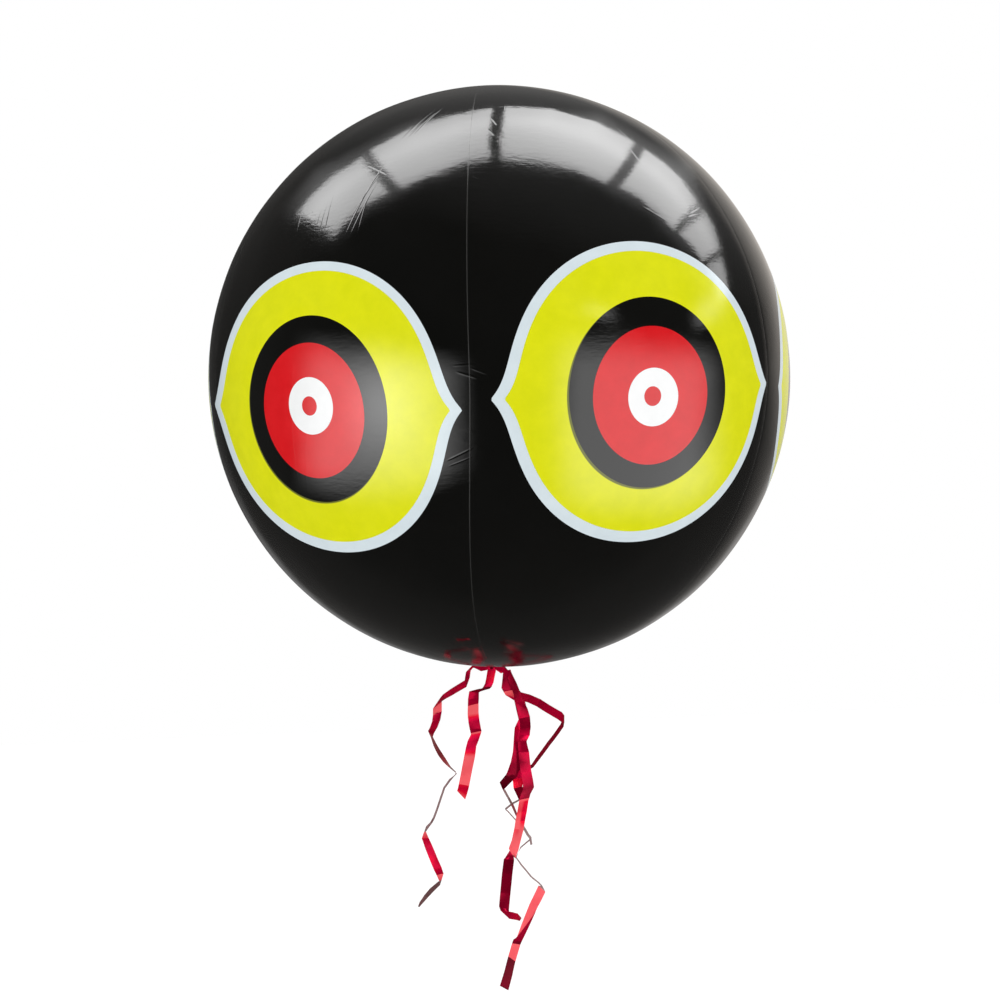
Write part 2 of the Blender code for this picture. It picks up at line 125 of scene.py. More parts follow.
def seen_on_ball(x, y):
    """Unit direction from the ball's middle to the skin seen at a point of the frame, and the way
    in which the skin there mirrors the line of sight."""
    ray = view_forward + view_right * (x - middle_pixel[0]) / focal_pixels
    ray = ray - view_up * (y - middle_pixel[1]) / focal_pixels
    ray = ray / np.linalg.norm(ray)
    start = view_place - ball_middle
    half = start @ ray
    reach = half ** 2 - start @ start + ball_radius ** 2
    hit = start + ray * (-half - math.sqrt(max(reach, 0)))
    out = hit / np.linalg.norm(hit)
    return out, ray - 2 * (ray @ out) * out


def direction(lon, lat):
    """Unit vectors from the ball's middle to longitude lon and latitude lat. Longitude 0 faces -Y."""
    return np.stack(
        [np.cos(lat) * np.sin(lon), -np.cos(lat) * np.cos(lon), np.sin(lat) + 0 * lon], axis=-1
    )


def around(steps):
    """Equal turns round a full circle."""
    return np.arange(steps) * math.tau / steps


def circle(turn):
    """Points of the unit circle: the cosine and the sine of each turn."""
    return np.stack([np.cos(turn), np.sin(turn)], axis=-1)


def share_between(value, start, end):
    """A share that grows evenly from 0 at the start to 1 at the end, and stays there."""
    return np.clip((value - start) / (end - start), 0, 1)


# Meshes

def sheet_mesh(name, grid, across_closed=False, along_closed=False, keep=None):
    """A mesh of four-sided faces on a grid of points, row by row. A closed way joins its last line
    of points to its first. keep says which cells are made. The UV map counts the cells as shares,
    and the sheet's borders are sharp."""
    rows, columns = grid.shape[:2]
    cell_rows = rows if along_closed else rows - 1
    cell_columns = columns if across_closed else columns - 1
    row, column = np.meshgrid(np.arange(cell_rows), np.arange(cell_columns), indexing="ij")
    if keep is not None:
        row, column = row[keep], column[keep]
    row, column = row.ravel(), column.ravel()
    next_row, next_column = (row + 1) % rows, (column + 1) % columns
    corners = np.stack([
        row * columns + column, row * columns + next_column,
        next_row * columns + next_column, next_row * columns + column,
    ], axis=1)
    uv = np.stack([
        np.stack([column, column + 1, column + 1, column], axis=1) / cell_columns,
        np.stack([row, row, row + 1, row + 1], axis=1) / cell_rows,
    ], axis=2)
    used, place = np.unique(corners, return_inverse=True)
    mesh = bpy.data.meshes.new(name)
    mesh.vertices.add(len(used))
    mesh.vertices.foreach_set("co", grid.reshape(-1, 3)[used].astype(np.float32).ravel())
    mesh.loops.add(corners.size)
    mesh.loops.foreach_set("vertex_index", place.astype(np.int32).ravel())
    mesh.polygons.add(len(corners))
    mesh.polygons.foreach_set("loop_start", np.arange(len(corners), dtype=np.int32) * 4)
    mesh.update(calc_edges=True)
    mesh.uv_layers.new(name="UVMap").data.foreach_set("uv", uv.astype(np.float32).ravel())
    mesh.validate()
    mesh.shade_smooth()
    edge_of = np.empty(len(mesh.loops), np.int32)
    mesh.loops.foreach_get("edge_index", edge_of)
    border = np.bincount(edge_of, minlength=len(mesh.edges)) == 1
    mesh.attributes.new("sharp_edge", "BOOLEAN", "EDGE").data.foreach_set("value", border)
    return mesh


def add_object(mesh, *finishes):
    """A mesh as an object of the scene, under the mesh's name and with its finishes."""
    thing = bpy.data.objects.new(mesh.name, mesh)
    bpy.context.scene.collection.objects.link(thing)
    for finish in finishes:
        mesh.materials.append(finish)
    return thing


def keep_values(mesh, name, values):
    """One number for each point of a mesh, kept as an attribute."""
    kept = mesh.attributes.new(name, "FLOAT", "POINT")
    kept.data.foreach_set("value", values.astype(np.float32).ravel())


def add_piece(mesh, finishes, body, slot, *nodes):
    """A piece in its place, which rides on a body and stands for CAD nodes."""
    piece = add_object(mesh, *finishes)
    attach(piece, body)
    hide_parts(*nodes)
    return piece


def thicken(piece, thickness, offset):
    """A wall on a sheet: inwards at offset -1, outwards at 1, and on both sides at 0."""
    solid = piece.modifiers.new("thickness", "SOLIDIFY")
    solid.thickness = thickness
    solid.offset = offset


# A rounded corner's steps, and the greatest share of a side that it takes
corner_steps = 3
longest_corner_share = 0.45


def rounded(profile, radius, closed):
    """A profile with each corner drawn as a curve: the curve leaves its two sides a radius away
    from the corner, or at a share of a short side, and bends from one to the other as a parabola."""
    points = np.array(profile, float)
    count = len(points)
    made = []
    for i in range(count):
        if not closed and i in (0, count - 1):
            made.append(points[i])
            continue
        here, sides = points[i], (points[i - 1] - points[i], points[(i + 1) % count] - points[i])
        first, last = (
            here + side / length * min(radius, length * longest_corner_share)
            for side, length in ((side, np.linalg.norm(side)) for side in sides)
        )
        for t in np.linspace(0, 1, corner_steps + 1):
            made.append(first * (1 - t) ** 2 + here * 2 * t * (1 - t) + last * t ** 2)
    return np.array(made)


# Points nearer than this are one
same_point = 1e-7


def close_poles(mesh):
    """Points that fall together on an axis become one."""
    work = bmesh.new()
    work.from_mesh(mesh)
    bmesh.ops.remove_doubles(work, verts=work.verts, dist=same_point)
    work.to_mesh(mesh)
    work.free()
    mesh.shade_smooth()
    return mesh


turned_steps = 96


def add_turned(name, node, body, slot, profile, place, axes, finish, closed=True,
               steps=turned_steps):
    """A profile of radii and heights turned about the third axis: point = place + radius times
    (cosine of the turn along the first axis + sine along the second) + height along the third."""
    side = circle(around(steps)) @ axes[:2]
    radius, height = profile[::-1, 0], profile[::-1, 1]
    grid = place + radius[:, None, None] * side + height[:, None, None] * axes[2]
    mesh = close_poles(sheet_mesh(name, grid, across_closed=True, along_closed=closed))
    return add_piece(mesh, [finish], body, slot, node)


# The ball's skin

# Low waves all over it, summed from sines: the range of their lengths, and their height as a share
# of the length
wave_count = 26
wave_span = (0.040, 0.150)
wave_share = 0.00033
skin_seed = 24
chance = np.random.default_rng(skin_seed)
wave_ways = chance.normal(size=(wave_count, 3))
wave_ways /= np.linalg.norm(wave_ways, axis=1)[:, None]
wave_lengths = chance.uniform(*wave_span, wave_count)
wave_starts = chance.uniform(0, math.tau, wave_count)
# Puckers beside each weld seam, and the patches that they come in: length, sharpness and share
pucker_lengths = np.array([0.011, 0.016, 0.023, 0.031])
pucker_patches = ((0.170, 3, 1.0), (0.097, 4, 0.6))
starts_per_seam = 8
pucker_starts = chance.uniform(0, math.tau, (panel_count, starts_per_seam))
pucker_height = 0.000012
pucker_reach = 0.011
pucker_fall = 1.4
# The valley along each weld seam
seam_depths = np.array([0.00002, 0.00008, 0.00004, 0.00003, 0.00004, 0.00005])
seam_width = 0.0026
# The valve's place and axes in the CAD source, the flat seat around it and the hole for its stem
valve_place = np.array([-0.074916, 0.198798, -0.484934])
valve_axes = np.array([
    (-0.93723, -0.34871, 0.0), (-0.23715, 0.63737, 0.73316), (-0.25566, 0.68714, -0.68006),
])
valve_seat_flat = 0.0165
valve_seat_run = 0.026
valve_hole = 0.0064
# The grid of one panel, and how much closer together its columns are at the seams
panel_rows = 301
panel_columns = 123
column_draw = 0.22


def seam_shift(out_z):
    """How far round the panels' seams are turned at a height: nothing in the upper half, and more
    and more below the middle, as a power of the depth."""
    return -seam_turn * np.clip(-out_z, 0, 1) ** seam_turn_power


def seam_lift(flat):
    """The seams' part of the skin's height: short puckers that fade away from the seam, less a
    shallow valley along it, whose cross-section is a bell curve."""
    lat = np.arcsin(np.clip(flat[:, 2], -1, 1))
    lon = np.arctan2(flat[:, 0], -flat[:, 1])
    steps = (lon - seam_shift(flat[:, 2]) - first_panel_lon) / panel_step + 0.5
    seam = np.round(steps)
    aside = (steps - seam) * panel_step * ball_radius * np.cos(lat)
    seam = seam.astype(int) % panel_count
    starts = pucker_starts[seam]
    along = lat * ball_radius * math.tau
    count = len(pucker_lengths)
    ripple = sum(
        np.sin(along / length + starts[:, i]) for i, length in enumerate(pucker_lengths)
    )
    patches = sum(
        share * (0.5 + 0.5 * np.sin(along / length + starts[:, count + i])) ** sharpness
        for i, (length, sharpness, share) in enumerate(pucker_patches)
    )
    fade = np.exp(-(np.abs(aside) / pucker_reach) ** pucker_fall)
    valley = seam_depths[seam] * np.exp(-(aside / seam_width) ** 2)
    return pucker_height * ripple * patches * fade - valley


def skin_radius(out):
    """Distance of the skin from the ball's middle along unit directions: the ball's radius, plus
    low waves of many lengths summed as sines, plus the seams' puckers and valleys. Around the
    valve it is pressed to a flat seat."""
    flat = out.reshape(-1, 3)
    phase = flat @ wave_ways.T * (math.tau * ball_radius / wave_lengths) + wave_starts
    waves = (np.sin(phase) * wave_lengths).sum(axis=1) * wave_share
    radius = ball_radius + waves + seam_lift(flat)
    from_valve = flat * ball_radius + ball_middle - valve_place
    aside = np.hypot(from_valve @ valve_axes[0], from_valve @ valve_axes[1])
    outwards = flat @ valve_axes[2]
    near = share_between(aside, valve_seat_run, valve_seat_flat)
    near = near * near * (3 - 2 * near) * (outwards > 0)
    seat = (valve_place - ball_middle) @ valve_axes[2] / np.where(near > 0, outwards, 1)
    return (radius * (1 - near) + seat * near).reshape(out.shape[:-1])


def on_skin(out, lift=0.0):
    """Points on the skin along unit directions, lifted outwards."""
    return out * (skin_radius(out) + lift)[..., None] + ball_middle


def panel_grid(panel_lon):
    """Directions of one panel: rows of latitude from pole to pole, and columns between two seams,
    at shares s + draw times sin(pi s) / pi of the way, which brings them together at the seams."""
    share = np.linspace(-1, 1, panel_columns)
    share = share + column_draw * np.sin(share * math.pi) / math.pi
    pole_lat = math.acos(pole_opening / ball_radius)
    lat = np.linspace(-pole_lat, pole_lat, panel_rows)[:, None]
    half = panel_step / 2 - seam_gap / 2 / (ball_radius * np.cos(lat))
    lon = panel_lon + share[None] * half + seam_shift(np.sin(lat))
    return direction(lon, lat + 0 * lon)


def add_panels(finish):
    """The six panels, each with its vinyl's thickness inwards. The fourth has the valve's hole."""
    for number in range(1, panel_count + 1):
        out = panel_grid(first_panel_lon + (number - 1) * panel_step)
        points = on_skin(out)
        centre = (points[:-1, :-1] + points[1:, 1:]) / 2 - valve_place
        aside = np.hypot(centre @ valve_axes[0], centre @ valve_axes[1])
        keep = (aside > valve_hole) | (centre @ valve_axes[2] < -valve_seat_run)
        mesh = sheet_mesh(f"vinyl_panel_{number}", points, keep=keep)
        piece = add_piece(mesh, [finish], "ball", "black_vinyl", f"panel_{number}")
        thicken(piece, vinyl, -1)


# Printed eyes. Each eye's films are a little off one another, as a screen print is: sideways and
# upwards in degrees of the ball, for the dot, the white ring, the red ring and the yellow's hole.
eye_offsets = (
    ((-0.78, -0.36), (-0.53, -0.53), (-0.38, -0.33), (-0.10, 0.10)),
    ((0.20, -0.25), (0.15, -0.20), (0.10, -0.30), (0.05, -0.05)),
    ((-0.30, 0.30), (-0.20, 0.15), (-0.30, 0.05), (0.10, 0.00)),
    ((0.40, 0.10), (0.30, 0.15), (0.20, -0.10), (-0.10, -0.10)),
    ((-1.95, -0.35), (-2.05, -0.30), (-1.90, -0.20), (-1.80, 0.10)),
    ((0.83, 0.31), (0.95, 0.30), (0.50, -0.60), (0.38, -0.47)),
)
# The edge of each eye's yellow field, in degrees of the ball: its mean reach, then the cosine and
# sine of one to four times the turn, then the height of its right and left points and their tilt.
# After it the outline's width: its mean, the cosine and sine of the turn and of twice the turn, and
# what the right and left points add.
yellow_edges = (
    ((23.74, 0.28, 0.02, -0.06, -0.20, 0.15, -0.01, -0.15, -0.02, 2.44, 2.35, 0.62, 0.57),
     (1.92, 0.10, -0.19, -0.03, -0.01, 0.34, 0.34)),
    ((23.20, 1.60, 0.05, 0.10, -0.10, 0.10, 0.02, -0.14, 0.02, 2.40, 1.20, 0.30, 0.40),
     (1.98, 0.05, 0.10, 0.05, 0.00, 0.30, 0.20)),
    ((23.78, -0.15, 0.12, 0.16, 0.08, -0.08, 0.03, -0.12, -0.03, 2.60, 2.50, -0.80, 0.20),
     (2.03, -0.12, 0.05, 0.05, 0.02, 0.30, 0.35)),
    ((23.72, 0.20, -0.25, 0.05, -0.12, 0.06, -0.04, -0.16, 0.04, 2.35, 2.75, 0.90, -0.50),
     (1.92, 0.14, -0.06, 0.00, -0.02, 0.38, 0.30)),
    ((23.70, -2.90, 0.18, 0.10, 0.02, -0.12, 0.01, -0.13, 0.02, 0.60, 2.45, -0.40, 0.60),
     (1.98, -0.30, 0.08, 0.05, 0.01, 0.10, 0.30)),
    ((23.80, -0.29, -0.47, 0.34, 0.03, -0.24, 0.00, -0.14, 0.05, 2.41, 3.58, -3.75, -0.65),
     (2.08, -0.56, -0.25, 0.12, 0.01, 0.26, 1.29)),
)
# Where the black print under the yellow's edge shows through: how much farther than the hole in
# the yellow it reaches, and how far it is shifted, in degrees
underprint_more = 0.08
underprint = (
    (-0.30, -0.24), (0.20, -0.10), (-0.15, 0.25), (0.10, 0.20), (0.25, -0.15), (-0.20, -0.26),
)
ring_steps = 360
ring_turn = around(ring_steps)
# Rows of faces across each film, and how much closer together they are at the inner edge
film_rows = {"outline": 8, "yellow": 36, "red": 20, "white": 12, "dot": 6}
row_draw = 1.6


def round_edge(reach, offset=(0, 0), oval=0.0):
    """A circle in the eye's flat map, in degrees of the ball, less a cosine of twice the turn, which
    makes it taller than wide."""
    reach = reach - oval * np.cos(2 * ring_turn)
    return np.array(offset) + reach[:, None] * circle(ring_turn)


def harmonics(turn, values):
    """A mean plus cosines and sines of one, two, three ... times the turn."""
    times = np.arange(1, len(values) // 2 + 1)[:, None]
    cosines, sines = np.array(values[1::2])[:, None], np.array(values[2::2])[:, None]
    return values[0] + (cosines * np.cos(times * turn) + sines * np.sin(times * turn)).sum(axis=0)


def pointed_edge(edge, width=None, more=0.0):
    """The yellow's edge, or with a width the outline's: harmonics of the turn, and at each side a
    point that falls off as an exponential on both sides."""
    reach = harmonics(ring_turn, edge[:9]) + more
    for i, at in enumerate((math.radians(edge[11]), math.pi + math.radians(edge[12]))):
        away = np.degrees(np.abs((ring_turn - at + math.pi) % math.tau - math.pi))
        reach = reach + edge[9 + i] * np.exp(-away / point_width)
        if width:
            reach = reach + width[5 + i] * np.exp(-away / point_rim_width)
    if width:
        reach = reach + harmonics(ring_turn, width[:5])
    return reach[:, None] * circle(ring_turn)


def eye_directions(number, flat):
    """The flat map laid on the ball: a distance from the eye's middle, in degrees, becomes the
    same arc of the ball, and it keeps its direction."""
    lon = np.array(first_panel_lon + (number - 1) * panel_step + eye_shift / ball_radius)
    lat = np.array(-eye_drop / ball_radius)
    east = direction(lon + math.pi / 2, np.array(0.0))
    north = direction(lon, lat + math.pi / 2)
    arc = np.radians(np.hypot(flat[..., 0], flat[..., 1]))[..., None]
    turn = np.arctan2(flat[..., 1], flat[..., 0])[..., None]
    sideways = np.cos(turn) * east + np.sin(turn) * north
    return np.cos(arc) * direction(lon, lat) + np.sin(arc) * sideways


def add_film(number, kind, inner, outer, inks, node, under=None):
    """A film between two edges of the flat map: its rows share out the way between them, closer
    together at the inner edge. under is the middle of the black print below, whose depth under the
    film is kept as an attribute."""
    share = np.linspace(0, 1, film_rows[kind] + 1)[:, None, None] ** row_draw
    flat = (inner[None] * (1 - share) + outer[None] * share)[:, ::-1]
    points = on_skin(eye_directions(number, flat), film_lift)
    mesh = sheet_mesh(f"printed_{kind}_{number}", points, across_closed=True)
    if under is not None:
        away = flat - np.array(under)
        oval = hole_oval * np.cos(2 * np.arctan2(away[..., 1], away[..., 0]))
        depth = black_reach + underprint_more - oval - np.linalg.norm(away, axis=-1)
        keep_values(mesh, "underprint", depth)
    add_print(mesh, inks[kind], f"{kind}_ink", f"eye_{number}_{node}")


def add_dot(number, offset, finish):
    """The dot's film: circles about its middle, from a point to its edge."""
    share = np.linspace(0, 1, film_rows["dot"] + 1)[:, None, None]
    flat = round_edge(dot_reach)[None] * share + np.array(offset)
    points = on_skin(eye_directions(number, flat), film_lift)[:, ::-1]
    mesh = close_poles(sheet_mesh(f"printed_dot_{number}", points, across_closed=True))
    add_print(mesh, finish, "red_ink", f"eye_{number}_red_dot")


def add_print(mesh, finish, slot, node):
    """A film's mesh as a piece of the ball, with the ink's thickness outwards."""
    thicken(add_piece(mesh, [finish], "ball", slot, node), film, 1)


def add_eyes(inks):
    """Five films an eye. A hair's gap keeps each film clear of the one that it goes round."""
    for number in range(1, panel_count + 1):
        dot, white, red, black = eye_offsets[number - 1]
        edge, width = yellow_edges[number - 1]
        under = np.array(black) + underprint[number - 1]
        add_film(number, "outline", pointed_edge(edge, more=film_gap), pointed_edge(edge, width),
                 inks, "outline")
        add_film(number, "yellow", round_edge(black_reach, black, hole_oval), pointed_edge(edge),
                 inks, "yellow_field", under)
        add_film(number, "red", round_edge(white_reach + film_gap, white),
                 round_edge(red_reach, red, red_oval), inks, "red_ring")
        add_film(number, "white", round_edge(dot_reach + film_gap, dot),
                 round_edge(white_reach, white), inks, "white_ring")
        add_dot(number, dot, inks["red"])


# Weld patches, tabs and the metal eyelet

# A patch: how far its coarse rows of points go and where its fine ones start, the two edges of its
# weld ring, the ring's ribs and its rounded rim
patch_coarse_end = 0.0245
patch_fine_start = 0.025
patch_coarse_rows = 10
patch_fine_rows = 44
patch_steps = 240
patch_ring = (0.0265, 0.0375)
patch_ring_edge = 0.001
patch_rib_count = 60
patch_rib_pitch = 0.0035
patch_rib_depth = 0.00012
patch_rim = 0.0388
patch_rim_drop = 0.00016
patch_wall = 0.0002
# A tab: how round its edges are, as a length and at most as a share of half its thickness, the
# heights of the lines down that edge as shares of the same, the lines from the hole to the outline
# and the steps round them, and the ribs of its weld
tab_round = 0.0004
tab_round_share = 0.8
tab_edge_shares = (0.75, 0, -0.75)
tab_rows = 14
tab_steps = 160
tab_rib_edge = 0.0006
tab_rib_pitch = 0.0015
tab_rib_depth = 0.00014
# The hanging tab, from the CAD source: its weld's middle, axes, width, length, thickness and
# corner, and its hole. Then the same of the tab under the ball
hang_place = np.array([0.0, 0.0, 0.0016])
hang_slope = math.radians(6.5)
hang_axes = np.array([
    (1.0, 0.0, 0.0), (0.0, math.cos(hang_slope), math.sin(hang_slope)),
    (0.0, -math.sin(hang_slope), math.cos(hang_slope)),
])
hang_tab_size = (0.026, 0.032, 0.0012, 0.010)
hang_hole_reach = 0.0195
hang_hole = 0.0049
hang_weld = 0.007
low_tab_place = np.array([-0.0195, tape_depth, -0.580007])
low_tab_axes = np.array([(0.99775, 0.0, -0.06708), (-0.06708, 0.0, -0.99775), (0.0, 1.0, 0.0)])
low_tab_size = (0.016, 0.0075, 0.0006, 0.003)
low_hole_reach = 0.0037
low_hole = 0.0020
low_weld = 0.0014
# The eyelet about its own axis, with heights from the tab's middle plane
eyelet_bore = 0.0040
eyelet_neck = 0.0046
eyelet_flange = 0.0072
eyelet_roll = 0.0062
eyelet_seat = 0.0009
eyelet_edge = 0.0004
eyelet_crown = 0.00062
eyelet_sheet = 0.0005
eyelet_foot = -0.0022
eyelet_round = 0.00022
washer_top = -0.0009
washer_round = 0.00015
# The knot's barrel, drawn along the slope of a half circle. Its core is as thick as a power of the
# slope's sine, and its middle part lies where the slope's cosine is under the end share. Then come
# the foil's wraps and the loop that holds the knot to the tab
knot_place = np.array([-0.02016, tape_depth, -0.58979])
knot_length = 0.0110
knot_radius = 0.0020
knot_core = 0.0018
knot_blunt = 0.7
knot_end_share = 1 / 6
knot_wraps = 6
knot_rows = 61
knot_steps = 72
wrap_rise = 0.00022
wrap_sink = 0.0001
loop_radius = 0.00305
loop_height = 0.00062
loop_width = 0.00088
loop_wave = 0.0001
loop_steps = 96
section_steps = 20


def add_patch(name, node, sign, finish):
    """A round cap on the ball's own curve. Its weld ring is pressed in with fine ribs: a cosine of
    the turn times a cosine of the reach, only between the ring's two edges. The rim rounds down."""
    reach = np.concatenate([
        np.linspace(0, patch_coarse_end, patch_coarse_rows),
        np.linspace(patch_fine_start, patch_reach, patch_fine_rows),
    ])[:, None]
    turn = around(patch_steps)
    arc = reach / ball_radius + 0 * turn
    out = np.stack([
        np.sin(arc) * np.cos(turn), sign * np.sin(arc) * np.sin(turn), sign * np.cos(arc)
    ], axis=-1)
    inner, outer = patch_ring
    ring = share_between(reach, inner, inner + patch_ring_edge)
    ring = ring * share_between(reach, outer, outer - patch_ring_edge)
    ribs = np.cos(turn * patch_rib_count) * np.cos(reach * math.tau / patch_rib_pitch)
    lift = -patch_rib_depth * ring * (0.5 + 0.5 * ribs)
    lift = lift - patch_rim_drop * share_between(reach, patch_rim, patch_reach) ** 2
    radius = ball_radius + patch_lift + patch_vinyl + lift
    mesh = close_poles(sheet_mesh(name, out * radius[..., None] + ball_middle, across_closed=True))
    thicken(add_piece(mesh, [finish], "ball", "patch_vinyl", node), patch_wall, -1)


def tab_outline(turn, width, length, corner, hole_reach):
    """Where a ray from the tab's hole meets its outline, a rectangle with two rounded corners at
    its free end: the ray is cut by the straight sides, and near the corners by their circles."""
    way = circle(turn)
    half, end = width / 2, length - hole_reach
    with np.errstate(divide="ignore", invalid="ignore"):
        to_side = np.where(way[:, 0] != 0, half / np.abs(way[:, 0]), np.inf)
        to_end = np.where(way[:, 1] > 0, end / way[:, 1], np.inf)
        to_weld = np.where(way[:, 1] < 0, -hole_reach / way[:, 1], np.inf)
    reach = np.minimum(np.minimum(to_side, to_end), to_weld)
    point = way * reach[:, None]
    centre = np.stack([np.sign(point[:, 0]) * (half - corner), 0 * turn + end - corner], axis=1)
    beyond = (np.abs(point[:, 0]) > half - corner) & (point[:, 1] > end - corner)
    along = (way * centre).sum(axis=1)
    off = (centre ** 2).sum(axis=1) - corner ** 2
    round_reach = along + np.sqrt(np.maximum(along ** 2 - off, 0))
    return way * np.where(beyond, round_reach, reach)[:, None]


def add_tab(name, node, place, axes, size, hole, hole_reach, weld_end, finish):
    """A welded tab with a hole: a closed ring whose cross-section runs from the hole's edge to the
    outline on top and back below, with rounded edges. The ribs of its weld are a cosine across
    the first few millimetres."""
    width, length, thickness, corner = size
    turn = around(tab_steps)
    outer = tab_outline(turn, width, length, corner, hole_reach)
    inner = circle(turn) * hole
    half = thickness / 2
    soft = min(half * tab_round_share, tab_round) / np.linalg.norm(outer - inner, axis=1)

    def line(share, height_share, inset):
        """One line round the tab, at a share of the way from the hole to the outline and of the
        half thickness, drawn in from its edge by a share of the rounding."""
        inwards = inset * (1 if share == 0 else -1)
        flat = inner * (1 - share) + outer * share + (outer - inner) * (soft * inwards)[:, None]
        return np.concatenate([flat, np.full((len(turn), 1), half * height_share)], axis=1)

    def edge(share, height_shares):
        """The lines down or up the rounded edge of the hole or of the outline."""
        return [line(share, one, 1 - math.sqrt(1 - one ** 2)) for one in height_shares]

    outwards = np.linspace(0, 1, tab_rows)
    top = [line(share, 1, share in (0, 1)) for share in outwards]
    below = [line(share, -1, share in (0, 1)) for share in outwards[::-1]]
    loop = np.stack(top + edge(1, tab_edge_shares) + below + edge(0, tab_edge_shares[::-1]))
    along = loop[..., 1] + hole_reach
    weld = share_between(along, weld_end, weld_end - tab_rib_edge) * share_between(along, 0, tab_rib_edge)
    ribs = 0.5 + 0.5 * np.cos(along * math.tau / tab_rib_pitch)
    loop[..., 2] -= np.sign(loop[..., 2]) * weld * tab_rib_depth * ribs
    points = place + loop[..., :1] * axes[0] + along[..., None] * axes[1] + loop[..., 2:] * axes[2]
    mesh = sheet_mesh(name, points, across_closed=True, along_closed=True)
    add_piece(mesh, [finish], node, "tab_vinyl", node)


def add_eyelet(finish):
    """The eyelet's flared flange and rolled edge, and its washer, are turned from their rounded
    profiles."""
    place = hang_place + hang_axes[1] * hang_hole_reach
    ring = rounded([
        (eyelet_bore, eyelet_seat + eyelet_sheet), (eyelet_neck, eyelet_seat + eyelet_crown),
        (eyelet_flange, eyelet_seat + eyelet_edge), (eyelet_flange, eyelet_seat),
        (eyelet_neck, eyelet_seat), (eyelet_neck, eyelet_foot + eyelet_sheet),
        (eyelet_roll, eyelet_foot + eyelet_sheet), (eyelet_roll, eyelet_foot),
        (eyelet_bore, eyelet_foot),
    ], eyelet_round, True)
    washer_foot = washer_top - eyelet_sheet
    washer = rounded([
        (hang_hole, washer_top), (eyelet_flange, washer_top),
        (eyelet_flange, washer_foot), (hang_hole, washer_foot),
    ], washer_round, True)
    for name, node, profile in (
        ("eyelet_ring", "hang_eyelet", ring), ("eyelet_washer", "hang_washer", washer),
    ):
        add_turned(name, node, "hang_tab", "nickel", profile, place, hang_axes, finish)


def add_knot(finish):
    """A barrel wound with foil: the radius rises and falls with the winding's screw line, and the
    barrel closes to a round end. The loop through the tab's hole is a ring of an oval section."""
    slope = np.linspace(0, math.pi, knot_rows)[:, None]
    turn = around(knot_steps)[None]
    rise = np.cos(slope)
    straight = (knot_length / 2 - knot_radius) * np.minimum(1, np.abs(rise) / knot_end_share)
    height = np.where(rise > 0, 1, -1) * straight + knot_radius * rise + 0 * turn
    screw = height / knot_length * math.pi * knot_wraps + turn / 2
    wound = wrap_rise * np.abs(np.sin(screw)) - wrap_sink
    swell = knot_core * np.sin(slope) ** knot_blunt + wound * np.sin(slope)
    side = circle(turn) @ low_tab_axes[:2]
    grid = knot_place + swell[..., None] * side + height[..., None] * low_tab_axes[2]
    barrel = close_poles(sheet_mesh("tied_knot", grid, across_closed=True))
    turn, section = around(loop_steps)[:, None], around(section_steps)[None]
    reach = loop_radius + loop_height * np.cos(section) + 0 * turn
    wide = loop_width * np.sin(section) + loop_wave * np.sin(turn * 3)
    out = circle(turn) @ low_tab_axes[1:]
    loop = knot_place - low_tab_axes[1] * loop_radius
    loop = loop + reach[..., None] * out + wide[..., None] * low_tab_axes[0]
    ring = sheet_mesh("knot_loop", loop, across_closed=True, along_closed=True)
    # The knot keeps no painted light, so its foil takes the lowest step, the painted shade
    for mesh in (barrel, ring):
        add_piece(mesh, [finish], "streamer_tab", "red_foil", "streamer_knot")
